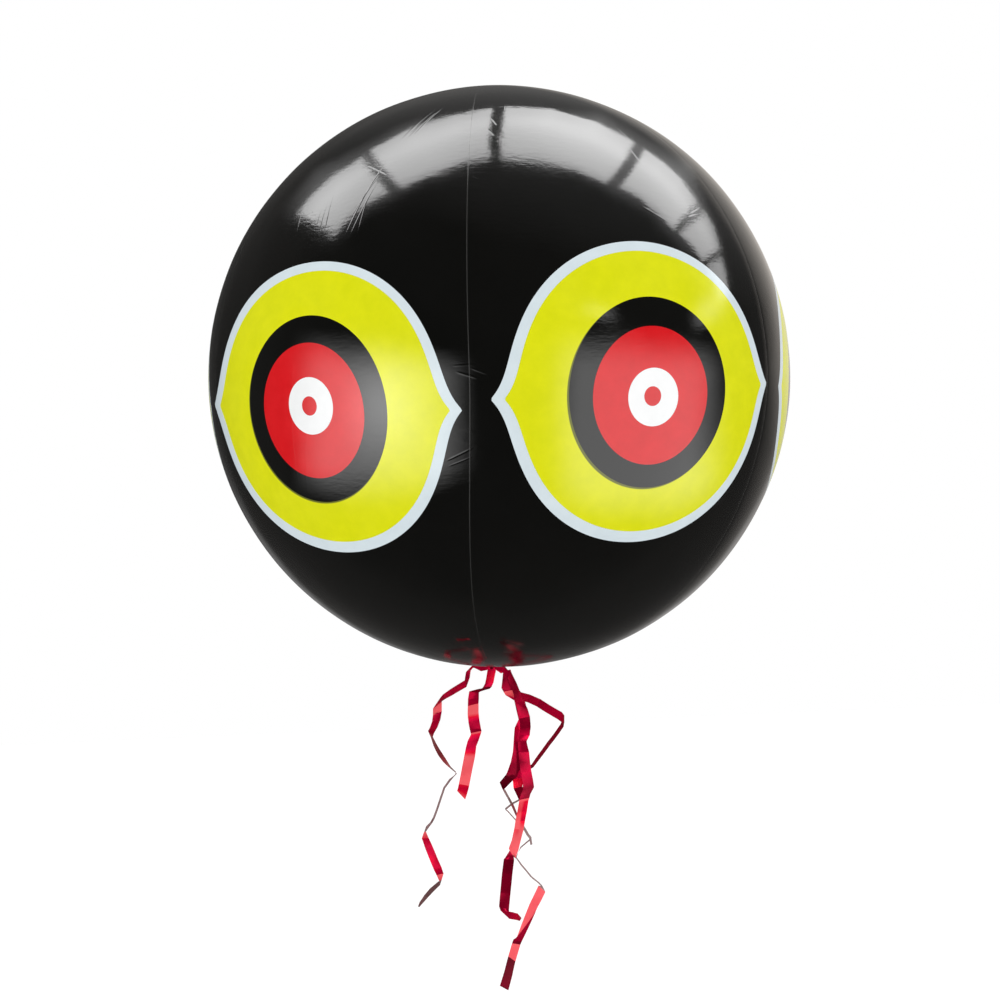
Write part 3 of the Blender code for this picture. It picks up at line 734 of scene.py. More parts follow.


# Foil streamers: each one's layer in depth and its folds. A row is a fold across the tape, from
# its first edge to its second, in pixels of the photograph's frame, and then the facet after it: b
# where it shows the foil's grey-brown back, and the foil's painted light from 0 to 9, as one digit
# for the whole facet, two for its start and its end, or four for its corners. Low digits are
# painted shade, the middle ones the foil's own crimson, and 9 a painted coral highlight.
streamers = {
    "left": (-2, (
        (490, 665.6, 490, 669.4, "44"), (482, 666.0, 481, 671.2, "45"),
        (476, 664.8, 475, 668.2, "33"), (471.8, 665.9, 473.2, 667.7, "65"),
        (466.0, 672.0, 470.8, 670.4, "53"), (464.8, 679.3, 469.8, 677.5, "53"),
        (464.8, 680.2, 466.4, 687.0, "54"), (450.0, 689.4, 452.6, 695.0, "55"),
        (443.0, 694.4, 446.0, 698.6, "43"), (440.0, 698.2, 442.0, 701.2, "33"),
        (433.0, 708.6, 441.8, 701.6, "99"), (432.9, 715.6, 441.8, 711.4, "44"),
        (432.0, 722.0, 440.4, 719.4, "45"), (430.0, 727.4, 437.6, 727.0, "53"),
        (428.0, 731.0, 434.0, 733.4, "43"), (431.0, 737.8, 432.8, 736.6, "22"),
        (433.6, 746.0, 437.0, 744.8, "22"), (438.0, 755.0, 441.6, 752.2, "23"),
        (443.0, 761.8, 446.0, 759.0, "34"), (449.2, 767.6, 450.6, 766.4, "b4"),
        (455.4, 772.6, 456.0, 771.6, "b6"), (456.8, 773.0, 454.6, 775.4, "b6"),
        (449.2, 779.0, 450.8, 780.6, "b6"), (443.4, 787.2, 445.2, 788.2, "b6"),
        (439.8, 797.6, 441.8, 798.2, "b6"), (436.0, 809.0, 438.0, 809.8, "b6"),
        (432.6, 818.0, 434.6, 818.9, "b4"), (430.2, 822.2, 432.0, 823.4, "b6"),
        (426.0, 826.4, 428.4, 828.2, "b6"), (424.2, 831.6, 426.0, 831.6, "98"),
        (421.8, 838.4, 428.8, 838.2, "65"), (425.2, 848.4, 433.0, 847.2, "56"),
        (430.0, 860.6, 438.0, 859.4, "65"), (434.0, 870.0, 441.6, 867.4, "64"),
        (436.6, 875.2, 443.6, 873.6, "98"), (439.4, 881.6, 441.6, 880.0, "b3"),
        (438.6, 881.2, 440.0, 885.2, "b2"), (430.0, 888.4, 433.4, 891.6, "b2"),
        (424.4, 895.0, 427.4, 898.0, "b3"), (419.6, 902.0, 421.6, 904.4, "b3"),
        (418.0, 906.4, 419.2, 907.2, "b3"),
    )),
    "short": (-1, (
        (491.0, 667.0, 494.6, 667.4, "44"), (487.4, 670.4, 496.0, 670.6, "67"),
        (486.2, 678.0, 494.6, 677.0, "76"), (485.0, 683.6, 493.6, 682.2, "63"),
        (483.2, 687.0, 491.6, 686.8, "22"), (482.0, 688.4, 489.6, 688.8, "12"),
        (475.0, 689.8, 480.2, 691.6, "22"), (469.2, 691.4, 479.0, 692.4, "34"),
        (468.0, 699.0, 478.9, 698.6, "46"), (467.8, 706.2, 478.6, 703.4, "99"),
        (467.6, 714.6, 478.6, 712.2, "94"), (468.4, 722.0, 479.4, 720.2, "43"),
        (469.6, 729.0, 481.0, 728.4, "32"), (470.6, 733.2, 481.6, 731.0, "99"),
        (470.8, 734.8, 481.2, 732.8, "64"), (467.6, 741.0, 478.8, 740.0, "44"),
        (465.8, 747.6, 476.4, 746.0, "49"), (464.0, 757.0, 475.0, 757.0, "99"),
        (460.6, 775.0, 471.2, 775.4, "99"), (458.8, 784.0, 469.2, 786.0, "76"),
        (458.0, 787.8, 468.2, 790.2, "68"), (457.0, 790.8, 465.2, 799.6, "88"),
    )),
    "middle": (0, (
        (493.6, 665.4, 494.2, 669.0, "54"), (503.0, 667.0, 501.6, 671.6, "53"),
        (511.0, 671.6, 507.6, 677.4, "32"), (516.4, 682.6, 510.4, 686.2, "23"),
        (519.8, 691.4, 513.6, 694.0, "34"), (523.0, 701.4, 514.8, 702.4, "42"),
        (527.4, 708.0, 517.8, 710.6, "24"), (530.0, 716.6, 519.4, 718.8, "32"),
        (530.8, 726.8, 520.2, 727.4, "25"), (529.8, 735.2, 519.6, 734.6, "53"),
        (526.6, 741.4, 518.0, 741.0, "34"), (529.2, 752.0, 518.6, 752.6, "32"),
        (530.0, 761.0, 519.4, 762.0, "23"), (531.4, 771.0, 520.8, 772.6, "32"),
        (533.2, 780.4, 522.8, 783.0, "21"), (534.2, 787.0, 523.0, 789.6, "11"),
        (530.6, 793.8, 520.6, 795.0, "12"), (529.4, 798.0, 519.2, 800.2, "98"),
        (528.6, 800.0, 518.8, 803.0, "7868"), (526.8, 812.0, 517.2, 812.4, "6869"),
        (525.0, 821.0, 515.4, 821.0, "6999"), (523.6, 829.6, 514.2, 829.0, "9899"),
        (520.8, 840.4, 511.8, 840.0, "99"), (518.6, 849.6, 508.8, 848.2, "99"),
        (515.4, 858.6, 509.6, 850.6, "33"), (513.6, 855.4, 505.4, 857.4, "33"),
        (514.2, 860.0, 503.8, 859.0, "12"), (512.4, 875.0, 501.8, 874.6, "22"),
        (510.6, 893.0, 500.2, 892.6, "22"), (509.0, 909.8, 499.0, 906.4, "23"),
        (509.2, 911.6, 500.6, 910.6, "44"), (512.0, 912.0, 509.2, 918.8, "56"),
        (517.6, 913.4, 515.6, 919.8, "65"), (521.6, 918.0, 519.8, 921.0, "55"),
    )),
    "inner": (1, (
        (492.0, 665.6, 495.0, 669.4, "54"), (499.0, 667.4, 501.0, 673.4, "76"),
        (503.0, 672.0, 510.4, 669.4, "22"), (502.4, 679.0, 513.4, 678.0, "23"),
        (501.4, 688.0, 514.0, 687.0, "32"), (503.6, 692.0, 513.4, 690.0, "98"),
        (505.6, 695.2, 516.8, 698.6, "54"), (514.2, 700.4, 524.6, 700.0, "43"),
        (516.4, 710.4, 527.0, 708.6, "32"), (518.6, 719.4, 527.6, 720.8, "46"),
        (514.8, 727.2, 525.2, 729.2, "75"), (514.2, 731.6, 524.8, 733.4, "54"),
        (513.6, 741.0, 524.2, 743.0, "43"), (512.8, 752.0, 523.4, 754.0, "32"),
        (510.8, 762.0, 521.4, 764.8, "22"), (507.4, 771.6, 517.0, 776.4, "21"),
        (506.0, 774.6, 512.0, 781.2, "11"), (499.6, 782.4, 503.4, 790.0, "12"),
        (503.0, 790.2, 505.2, 789.4, "b6"), (507.4, 798.2, 509.4, 797.2, "b4"),
        (511.0, 805.0, 513.2, 803.8, "33"), (515.4, 815.2, 517.6, 814.4, "b6"),
        (521.4, 826.4, 523.8, 825.4, "b6"), (526.6, 835.2, 529.0, 834.2, "b6"),
        (529.2, 838.4, 531.4, 837.6, "b6"), (530.4, 845.0, 532.4, 844.4, "b6"),
    )),
    "long": (2, (
        (492.0, 664.4, 493.6, 667.4, "43"), (504.0, 665.4, 503.0, 670.4, "32"),
        (513.0, 676.4, 508.4, 680.4, "23"), (518.0, 688.4, 511.6, 691.4, "34"),
        (521.0, 692.2, 519.6, 700.4, "55"), (530.0, 694.6, 527.4, 702.2, "55"),
        (540.6, 699.2, 536.6, 706.4, "45"), (550.6, 705.6, 546.0, 712.4, "55"),
        (562.0, 712.2, 557.6, 719.2, "54"), (564.4, 715.4, 561.4, 722.0, "55"),
        (564.4, 722.0, 561.0, 723.2, "33"), (563.6, 726.8, 560.4, 724.2, "44"),
        (550.2, 745.0, 547.0, 742.4, "55"), (540.6, 758.0, 537.6, 755.4, "55"),
        (533.4, 767.4, 531.4, 764.6, "34"), (526.0, 772.0, 516.0, 768.6, "55"),
        (523.6, 778.0, 512.6, 779.4, "77"), (522.4, 786.6, 513.6, 788.6, "22"),
        (529.0, 795.4, 518.6, 799.2, "b6"), (520.0, 800.4, 518.4, 799.4, "b6"),
        (513.6, 804.0, 513.0, 802.2, "b6"), (505.6, 810.2, 505.0, 808.4, "b6"),
        (507.4, 811.6, 508.2, 810.8, "b6"), (514.4, 819.4, 515.2, 818.6, "b6"),
        (523.4, 829.4, 524.4, 828.6, "b6"), (530.2, 838.4, 531.6, 837.2, "b6"),
        (529.4, 841.0, 529.0, 839.6, "b6"), (520.8, 848.2, 520.4, 847.0, "b6"),
        (515.4, 857.6, 516.6, 857.2, "b6"), (520.6, 865.2, 521.8, 864.2, "b6"),
        (530.2, 876.8, 531.4, 875.8, "b6"), (538.0, 883.0, 539.0, 882.0, "b6"),
        (541.0, 886.2, 542.2, 885.4, "b6"), (538.4, 885.6, 545.4, 891.8, "99"),
        (530.0, 903.0, 539.4, 904.0, "99"), (517.0, 936.8, 535.4, 912.4, "54"),
        (513.4, 939.4, 521.6, 941.8, "3222"), (512.0, 943.4, 520.4, 944.6, "99"),
        (508.2, 956.4, 515.4, 961.6, "00"), (504.4, 971.0, 512.4, 975.2, "01"),
        (499.8, 985.8, 508.4, 990.4, "11"),
    )),
}
# How the tapes lie in depth: the distance between two layers at the knot and beyond the fan, the
# least gap between them, how steeply a facet leans and how far it may, and its least turn
layer_at_knot = 0.0014
layer_distance = 0.0119
layer_gap = 0.0006
fan_length = 0.055
facet_slope = 0.22
facet_lean = 0.005
facet_turn = math.radians(15)
# At the knot a tape is gathered to this share of its width, and it opens over this length
gather_share = 0.4
gather_length = 0.022
# The foil itself, and the unevenness of its facets: curl across, and bow along as a share of length
foil_thickness = 0.00008
facet_curl = 0.00022
facet_bow = 0.008
# A facet's grid: the lines close to its folds, the distance between the others, and its columns
crease_line = 0.0002
crease_line_share = 0.2
facet_step = 0.0015
tape_columns = 8
seed_per_row = 7
# Where across the tape a facet's painted light goes over from its first edge's to its second edge's
painted_light_change = (0.35, 0.60)
painted_light_steps = 9


def seen_at(x, y, depth):
    """The points seen at pixels of the frame, at a depth behind the ball's middle."""
    far = (view_distance + depth)[:, None]
    across = ((x - middle_pixel[0]) / focal_pixels)[:, None]
    down = ((y - middle_pixel[1]) / focal_pixels)[:, None]
    return view_place + far * (view_forward + across * view_right - down * view_up)


def tape_edges(layer, rows):
    """A tape's two edges at its folds. A fold that looks narrow is turned edge on: its two ends
    differ in depth by what its width in the frame lacks. From fold to fold the tape also leans
    forwards and back in turns, and it stays in its own layer. It isn't folded where the painted
    light goes on as it was."""
    marks = np.array([row[:4] for row in rows])
    codes = [row[4] for row in rows]
    middle = (marks[:, :2] + marks[:, 2:]) / 2
    scale = view_distance / focal_pixels
    reach = np.hypot(*(middle - middle[0]).T) * scale
    fanned = share_between(reach, 0, fan_length)
    pitch = layer_at_knot + (layer_distance - layer_at_knot) * fanned
    width = np.hypot(*(marks[:, 2:] - marks[:, :2]).T) * scale
    full = tape_width * (gather_share + (1 - gather_share) * share_between(reach, 0, gather_length))
    turn = np.maximum(np.arccos(np.clip(width / full, 0, 1)), facet_turn)
    deep = np.minimum(full / 2 * np.sin(turn), (pitch - layer_gap) / 2)
    lean = np.zeros(len(rows))
    way = 1
    for i in range(1, len(rows)):
        run = np.hypot(*(middle[i] - middle[i - 1])) * scale
        if i < 2 or codes[i - 1][0] != codes[i - 2][-1]:
            way = -1 if lean[i - 1] > 0 else 1
        lean[i] = np.clip(lean[i - 1] + way * facet_slope * run, -facet_lean, facet_lean)
    depth = tape_depth + layer * pitch + lean * fanned
    first = seen_at(marks[:, 0], marks[:, 1], depth - deep)
    second = seen_at(marks[:, 2], marks[:, 3], depth + deep)
    return first, second


def corner_painted_light(code):
    """The foil's painted light, shade or highlight, at a facet's start, first and second edge, and at its
    end.
    """
    digits = [int(mark) / painted_light_steps for mark in code.strip("b")]
    return np.repeat(digits, 4 // len(digits))


def add_streamer(name, layer, rows, finishes):
    """A creased foil tape. Between two folds a facet's points run in straight lines from edge to
    edge and from fold to fold, plus a low parabola each way. Its painted light, shade and highlight,
    runs from fold to fold too. Extra lines close to each fold keep it crisp. A facet is red on one
    side and has the foil's back on the other, turned so that the camera sees the side that its row
    names."""
    first, second = tape_edges(layer, rows)
    own = np.random.default_rng(len(rows) * seed_per_row + layer)
    share = np.linspace(0, 1, tape_columns + 1)
    turned = share_between(share, *painted_light_change)
    lines, painted_lights, sides = [], [], []
    curl = own.normal(0, facet_curl, len(rows))
    for i in range(len(rows) - 1):
        code = rows[i][4]
        run = (first[i + 1] + second[i + 1] - first[i] - second[i]) / 2
        length = np.linalg.norm(run)
        near = min(crease_line / length, crease_line_share)
        inner = np.linspace(0, 1, max(3, int(length / facet_step)))[1:-1]
        steps = np.concatenate([[0, near], inner[(inner > near) & (inner < 1 - near)], [1 - near]])
        normal = np.cross(first[i] - second[i], run)
        normal = normal / np.linalg.norm(normal)
        bow = own.normal(0, facet_bow) * length
        centre = (first[i] + second[i] + first[i + 1] + second[i + 1]) / 4
        outwards = np.cross(first[i] - second[i + 1], first[i + 1] - second[i])
        faces_camera = (view_place - centre) @ outwards > 0
        sides += [int(faces_camera == code.startswith("b"))] * len(steps)
        start_first, start_second, end_first, end_second = corner_painted_light(code)
        for t in steps:
            a, b = first[i] * (1 - t) + first[i + 1] * t, second[i] * (1 - t) + second[i + 1] * t
            rise = (curl[i] * (1 - t) + curl[i + 1] * t) * 4 * share * (1 - share)
            rise = rise + bow * 4 * t * (1 - t)
            lines.append(a + share[:, None] * (b - a) + rise[:, None] * normal)
            painted_lights.append((start_first * (1 - t) + end_first * t) * (1 - turned)
                         + (start_second * (1 - t) + end_second * t) * turned)
    lines.append(first[-1] + share[:, None] * (second[-1] - first[-1]))
    painted_lights.append(painted_lights[-1])
    grid = np.array(lines)
    mesh = sheet_mesh(f"foil_streamer_{name}", grid[:, ::-1])
    side_of_face = np.repeat(sides, tape_columns).astype(np.int32)
    mesh.polygons.foreach_set("material_index", side_of_face)
    keep_values(mesh, "foil_tone", np.array(painted_lights)[:, ::-1])
    node = f"streamer_{name}"
    piece = add_piece(mesh, finishes, node, "red_foil", node)
    thicken(piece, foil_thickness, 0)
    piece.modifiers["thickness"].material_offset = 1
    middle = (grid[:, 0] + grid[:, -1]) / 2
    length = float(np.linalg.norm(np.diff(middle, axis=0), axis=1).sum())


# Valve: radii about its own axis, and heights from the ball's skin
flange_bore = 0.0059
flange_radius = 0.0140
flange_bevel = 0.0004
flange_low = 0.0006
flange_high = 0.0014
stem_bore = 0.0040
stem_radius = 0.0056
stem_bead = 0.0072
stem_rim = 0.0080
stem_rim_low = 0.0017
stem_rim_high = 0.0029
stem_bead_top = -0.01255
stem_foot = -0.01415
plug_pin = 0.0037
plug_tip = 0.0031
plug_radius = 0.0078
plug_low = 0.0032
plug_high = 0.0048
plug_bevel = 0.0004
plug_dish = (0.0016, 0.0018, 0.0060, 0.0064)
plug_dish_depth = 0.0002
plug_pin_end = -0.0041
plug_tip_end = -0.0053
flap_radius = 0.0035
flap_low = -0.01315
flap_thickness = 0.0006
valve_round = 0.0003
plug_round = 0.0002
flap_round = 0.0001
flap_steps = 60
# The plug's strap: its cord, its ends in the rim and in the plug's head, how far out it bows, its
# steps, and how far beyond each end its closing point lies
strap_radius = 0.00068
strap_low = 0.0023
strap_high = 0.0040
strap_from_plug = 0.0081
strap_from_rim = 0.0083
strap_bow = 0.0042
strap_straight_steps = 8
strap_bend_steps = 20
strap_section_steps = 16
strap_end = 1e-6


def add_valve(finish):
    """Flange, stem, plug and check flap are turned from rounded profiles about the valve's axis, and
    the strap is added."""
    flange = rounded([
        (flange_bore, flange_high), (flange_radius - flange_bevel, flange_high),
        (flange_radius, flange_low), (flange_bore, flange_low),
    ], valve_round, True)
    stem = rounded([
        (stem_bore, stem_rim_high), (stem_rim, stem_rim_high), (stem_rim, stem_rim_low),
        (stem_radius, stem_rim_low), (stem_radius, stem_bead_top), (stem_bead, stem_bead_top),
        (stem_radius, stem_foot), (stem_bore, stem_foot),
    ], valve_round, True)
    dish_start, dish_floor, dish_rise, dish_end = plug_dish
    dish_low = plug_high - plug_dish_depth
    plug = rounded([
        (0, plug_high), (dish_start, plug_high), (dish_floor, dish_low), (dish_rise, dish_low),
        (dish_end, plug_high), (plug_radius - plug_bevel, plug_high),
        (plug_radius, plug_high - plug_bevel), (plug_radius, plug_low), (plug_pin, plug_low),
        (plug_pin, plug_pin_end), (plug_tip, plug_tip_end), (0, plug_tip_end),
    ], plug_round, False)
    flap_high = flap_low + flap_thickness
    flap = rounded([
        (0, flap_high), (flap_radius, flap_high), (flap_radius, flap_low), (0, flap_low),
    ], flap_round, False)
    for name, node, body, profile, closed in (
        ("valve_base", "valve_flange", "ball", flange, True),
        ("valve_tube", "valve_stem", "valve_stem", stem, True),
        ("valve_cap", "valve_plug", "valve_plug", plug, False),
    ):
        add_turned(name, node, body, "valve_vinyl", profile, valve_place, valve_axes, finish, closed)
    add_turned("check_flap", "valve_flap", "valve_flap", "valve_vinyl", flap, valve_place,
               valve_axes, finish, False, flap_steps)
    add_strap(finish)


def tube_grid(path, radius):
    """A round tube along a path: rings square to the path, whose first axis is the cross product
    of the way ahead and the valve's second axis."""
    ahead = np.gradient(path, axis=0)
    ahead /= np.linalg.norm(ahead, axis=1)[:, None]
    side = np.cross(ahead, valve_axes[1])
    side /= np.linalg.norm(side, axis=1)[:, None]
    across, up = circle(around(strap_section_steps)).T[:, None, :, None]
    ring = across * side[:, None] + up * np.cross(ahead, side)[:, None]
    return path[:, None] + ring * radius[:, None, None]


def add_strap(finish):
    """The plug's strap: straight out of the plug's head, round a half circle, and back to the rim.
    A ring of no radius closes each end."""
    turn = (strap_high - strap_low) / 2
    reach = strap_from_rim + strap_bow - turn
    bend = circle(np.linspace(math.pi / 2, -math.pi / 2, strap_bend_steps + 1)) * turn
    count = strap_straight_steps
    across = np.concatenate([
        np.linspace(strap_from_plug, reach, count + 1)[:-1], reach + bend[:, 0],
        np.linspace(reach, strap_from_rim, count + 1)[1:],
    ])
    height = np.concatenate([
        np.full(count, strap_high), strap_low + turn + bend[:, 1], np.full(count, strap_low)
    ])
    path = valve_place + across[:, None] * valve_axes[0] + height[:, None] * valve_axes[2]
    path = np.concatenate([path[:1], path, path[-1:]])
    path[[0, -1]] -= valve_axes[0] * strap_end
    radius = np.full(len(path), strap_radius)
    radius[[0, -1]] = 0
    mesh = close_poles(sheet_mesh("cap_strap", tube_grid(path, radius), across_closed=True))
    piece = add_object(mesh, finish)
    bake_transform(piece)
    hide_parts("valve_strap")


# Finishes

class Wiring:
    """Short calls that add one material's or group's nodes."""

    def __init__(self, tree):
        self.tree = tree

    def add(self, kind, **settings):
        node = self.tree.nodes.new(kind)
        for name, value in settings.items():
            setattr(node, name, value)
        return node

    def put(self, socket, value):
        """A link into a socket, or the socket's own value."""
        if isinstance(value, bpy.types.NodeSocket):
            self.tree.links.new(value, socket)
        else:
            socket.default_value = value

    def math(self, operation, *values):
        node = self.add("ShaderNodeMath", operation=operation)
        for socket, value in zip(node.inputs, values):
            self.put(socket, value)
        return node.outputs[0]

    def vectors(self, operation, first, second):
        node = self.add("ShaderNodeVectorMath", operation=operation)
        self.put(node.inputs[0], first)
        self.put(node.inputs[1], tuple(second))
        return node

    def dot(self, first, second):
        return self.vectors("DOT_PRODUCT", first, second).outputs["Value"]

    def place(self):
        return self.add("ShaderNodeTexCoord").outputs["Object"]

    def from_ball_middle(self):
        return self.vectors("SUBTRACT", self.place(), ball_middle).outputs[0]

    def parts(self, vector):
        """X, Y and Z of a vector."""
        node = self.add("ShaderNodeSeparateXYZ")
        self.put(node.inputs[0], vector)
        return node.outputs

    def attribute(self, name):
        return self.add("ShaderNodeAttribute", attribute_name=name).outputs["Fac"]

    def noise(self, vector, scale, detail=3.0, rough=0.5, stretch=None):
        if stretch:
            node = self.add("ShaderNodeMapping")
            self.put(node.inputs["Vector"], vector)
            self.put(node.inputs["Scale"], stretch)
            vector = node.outputs[0]
        node = self.add("ShaderNodeTexNoise")
        self.put(node.inputs["Vector"], vector)
        self.put(node.inputs["Scale"], scale)
        self.put(node.inputs["Detail"], detail)
        self.put(node.inputs["Roughness"], rough)
        return node.outputs["Fac"]

    def range(self, value, low, high, to_low, to_high, kind="LINEAR"):
        node = self.add("ShaderNodeMapRange", interpolation_type=kind)
        for name, given in zip(("Value", "From Min", "From Max", "To Min", "To Max"),
                               (value, low, high, to_low, to_high)):
            self.put(node.inputs[name], given)
        return node.outputs[0]

    def bell(self, distance, width):
        """exp(-(distance / width) squared)"""
        share = self.math("MULTIPLY", distance, 1 / width)
        square = self.math("MULTIPLY", share, share)
        return self.math("EXPONENT", self.math("MULTIPLY", square, -1.0))

    def mix(self, share, first, second, kind="MIX"):
        node = self.add("ShaderNodeMix", data_type="RGBA", blend_type=kind)
        self.put(node.inputs[0], share)
        self.put(node.inputs[6], first)
        self.put(node.inputs[7], second)
        return node.outputs[2]

    def plus(self, first, second):
        return self.mix(1.0, first, second, "ADD")

    def ramp(self, value, steps):
        """Colours that go over from one step to the next as the value grows."""
        node = self.add("ShaderNodeValToRGB")
        self.put(node.inputs[0], value)
        elements = node.color_ramp.elements
        while len(elements) < len(steps):
            elements.new(0.5)
        for element, (at, colour) in zip(elements, steps):
            element.position = at
            element.color = (*colour, 1)
        return node.outputs[0]

    def bump(self, height):
        """The normal of a surface whose height is given in metres."""
        node = self.add("ShaderNodeBump")
        self.put(node.inputs["Strength"], 1.0)
        self.put(node.inputs["Distance"], 1.0)
        self.put(node.inputs["Height"], height)
        return node.outputs[0]


# Packing creases that show in the photograph: both ends in its frame, height and width in metres
creases = (
    ((449, 104), (411, 138), 0.000085, 0.00040), ((441, 109), (405, 141), 0.000070, 0.00036),
    ((460, 96), (392, 150), 0.000050, 0.00050), ((432, 117), (409, 134), 0.000060, 0.00034),
    ((387, 161), (345, 236), 0.000110, 0.00042), ((382, 172), (352, 216), 0.000080, 0.00034),
    ((377, 183), (349, 238), 0.000080, 0.00036), ((369, 194), (357, 236), 0.000050, 0.00034),
    ((366, 165), (388, 176), 0.000060, 0.00040), ((368, 170), (384, 162), 0.000050, 0.00040),
    ((335, 190), (325, 232), 0.000070, 0.00036), ((329, 198), (319, 236), 0.000050, 0.00034),
    ((322, 208), (317, 226), 0.000040, 0.00040), ((301, 214), (296, 236), 0.000040, 0.00040),
    ((461, 113), (511, 106), 0.000050, 0.00045), ((498, 82), (501, 104), 0.000110, 0.00050),
    ((484, 86), (481, 104), 0.000060, 0.00040), ((506, 90), (504, 110), 0.000060, 0.00040),
    ((487, 128), (495, 137), 0.000035, 0.00050), ((491, 118), (497, 126), 0.000040, 0.00040),
    ((472, 176), (479, 181), 0.000070, 0.00050), ((425, 176), (441, 175), 0.000040, 0.00040),
    ((617, 128), (634, 143), 0.000060, 0.00040), ((631, 150), (639, 162), 0.000060, 0.00045),
    ((640, 205), (668, 222), 0.000030, 0.00055), ((690, 214), (700, 208), 0.000060, 0.00045),
    ((688, 217), (697, 214), 0.000060, 0.00040), ((298, 330), (302, 500), 0.000030, 0.00040),
    ((307, 420), (308, 500), 0.000030, 0.00040), ((456, 372), (480, 379), 0.000200, 0.00074),
    ((453, 366), (476, 364), 0.000140, 0.00056), ((446, 461), (473, 448), 0.000230, 0.00062),
    ((449, 466), (472, 457), 0.000150, 0.00050), ((470, 368), (492, 376), 0.000140, 0.00062),
    ((263, 546), (351, 615), 0.000060, 0.00074),
)


# Where a crease's height starts to fade and where it ends, as shares of half its length
crease_full_share = 0.3
crease_end_share = 1.1


def value_group(name, output):
    """The wiring of a new node group that gives one number."""
    group = bpy.data.node_groups.new(name, "ShaderNodeTree")
    group.interface.new_socket(output, in_out="OUTPUT", socket_type="NodeSocketFloat")
    return Wiring(group)


def crease_group():
    """The height of all creases at a point of the skin. Each lies on a great circle through its two
    ends: a bell curve across it, and a smooth fall towards its ends."""
    wire = value_group("skin_creases", "Height")
    place = wire.from_ball_middle()
    total = 0.0
    for one, other, height, width in creases:
        a, b = seen_on_ball(*one)[0], seen_on_ball(*other)[0]
        middle = (a + b) / np.linalg.norm(a + b)
        along = (b - a) / np.linalg.norm(b - a)
        half = float(np.linalg.norm(b - a)) * ball_radius / 2
        line = wire.bell(wire.dot(place, np.cross(middle, along)), width)
        reach = wire.math("ABSOLUTE", wire.dot(place, along))
        fade = wire.range(reach, half * crease_full_share, half * crease_end_share, height, 0.0,
                          "SMOOTHSTEP")
        total = wire.math("MULTIPLY_ADD", line, fade, total)
    wire.put(wire.add("NodeGroupOutput").inputs[0], total)


def seam_group():
    """The distance from the nearest weld seam, in metres: with the lower half's turn taken back,
    every seam lies in one of three upright planes through the ball's axis."""
    wire = value_group("seam_distance", "Distance")
    place = wire.from_ball_middle()
    depth = wire.range(wire.parts(place)["Z"], 0.0, -ball_radius, 0.0, 1.0)
    turned = wire.add("ShaderNodeVectorRotate", rotation_type="Z_AXIS")
    wire.put(turned.inputs["Vector"], place)
    share = wire.math("POWER", depth, seam_turn_power)
    wire.put(turned.inputs["Angle"], wire.math("MULTIPLY", share, seam_turn))
    nearest = None
    for i in range(panel_count // 2):
        lon = first_panel_lon + (i + 0.5) * panel_step
        across = (math.cos(lon), math.sin(lon), 0.0)
        aside = wire.math("ABSOLUTE", wire.dot(turned.outputs[0], across))
        nearest = aside if nearest is None else wire.math("MINIMUM", nearest, aside)
    wire.put(wire.add("NodeGroupOutput").inputs[0], nearest)


def new_finish(name):
    material = bpy.data.materials.new(name)
    material.use_nodes = True
    wire = Wiring(material.node_tree)
    return material, wire, material.node_tree.nodes["Principled BSDF"]


# Bump heights and widths of the skin, the nickel and the foil, in metres, and the height of the
# skin's broad unevenness as a share of the fine one's
weld_width = 0.00036
weld_height = 0.00002
pucker_spread = 0.014
pucker_bump = 0.00005
crinkle_bump = 0.00040
vinyl_fuzz = 0.00010
ink_fuzz = 0.00004
nickel_grain = 0.000006
foil_crumple = 0.000018
foil_wave = 0.00016
broad_share = 0.6
# Heights above the ball's middle between which the weld line's painted highlight and its
# duller gloss fade out, and the skin about the lower patch crinkles and turns dull
weld_highlight_and_gloss_fade = (-0.10, -0.25)
lower_skin = (-0.235, -0.275)


def skin_relief(wire, fuzz):
    """Bump heights that vinyl and ink share: creases, the weld's fine line, puckers beside it, a
    fine and a broad unevenness drawn out sideways, and crinkles about the lower patch."""
    place = wire.from_ball_middle()
    up = wire.parts(place)["Z"]
    height, seam = (
        wire.add("ShaderNodeGroup", node_tree=bpy.data.node_groups[name]).outputs[0]
        for name in ("skin_creases", "seam_distance")
    )
    line = wire.bell(seam, weld_width)
    height = wire.math("MULTIPLY_ADD", line, weld_height, height)
    pucker = wire.noise(place, 55.0, 4.0, 0.55, (1.0, 1.0, 2.6))
    pucker = wire.math("POWER", wire.range(pucker, 0.45, 0.75, 0.0, 1.0), 2.0)
    pucker = wire.math("MULTIPLY", pucker, wire.bell(seam, pucker_spread))
    height = wire.math("MULTIPLY_ADD", pucker, pucker_bump, height)
    small = wire.noise(place, 240.0, 4.0, 0.6, (0.5, 0.5, 1.5))
    patchy = wire.range(wire.noise(place, 9.0, 2.0), 0.42, 0.62, 0.3, 1.0)
    height = wire.math("MULTIPLY_ADD", wire.math("MULTIPLY", small, patchy), fuzz, height)
    broad = wire.noise(place, 45.0, 2.0, 0.5, (1.0, 1.0, 1.5))
    height = wire.math("MULTIPLY_ADD", broad, fuzz * broad_share, height)
    crinkle = wire.math("MULTIPLY", wire.noise(place, 80.0, 3.0, 0.55),
                        wire.range(up, *lower_skin, 0.0, 1.0))
    height = wire.math("MULTIPLY_ADD", crinkle, crinkle_bump, height)
    # The weld line's painted highlight, and its duller gloss, fade out towards the bottom
    line = wire.math("MULTIPLY", line, wire.range(up, *weld_highlight_and_gloss_fade, 1.0, 0.2))
    return place, wire.bump(height), line


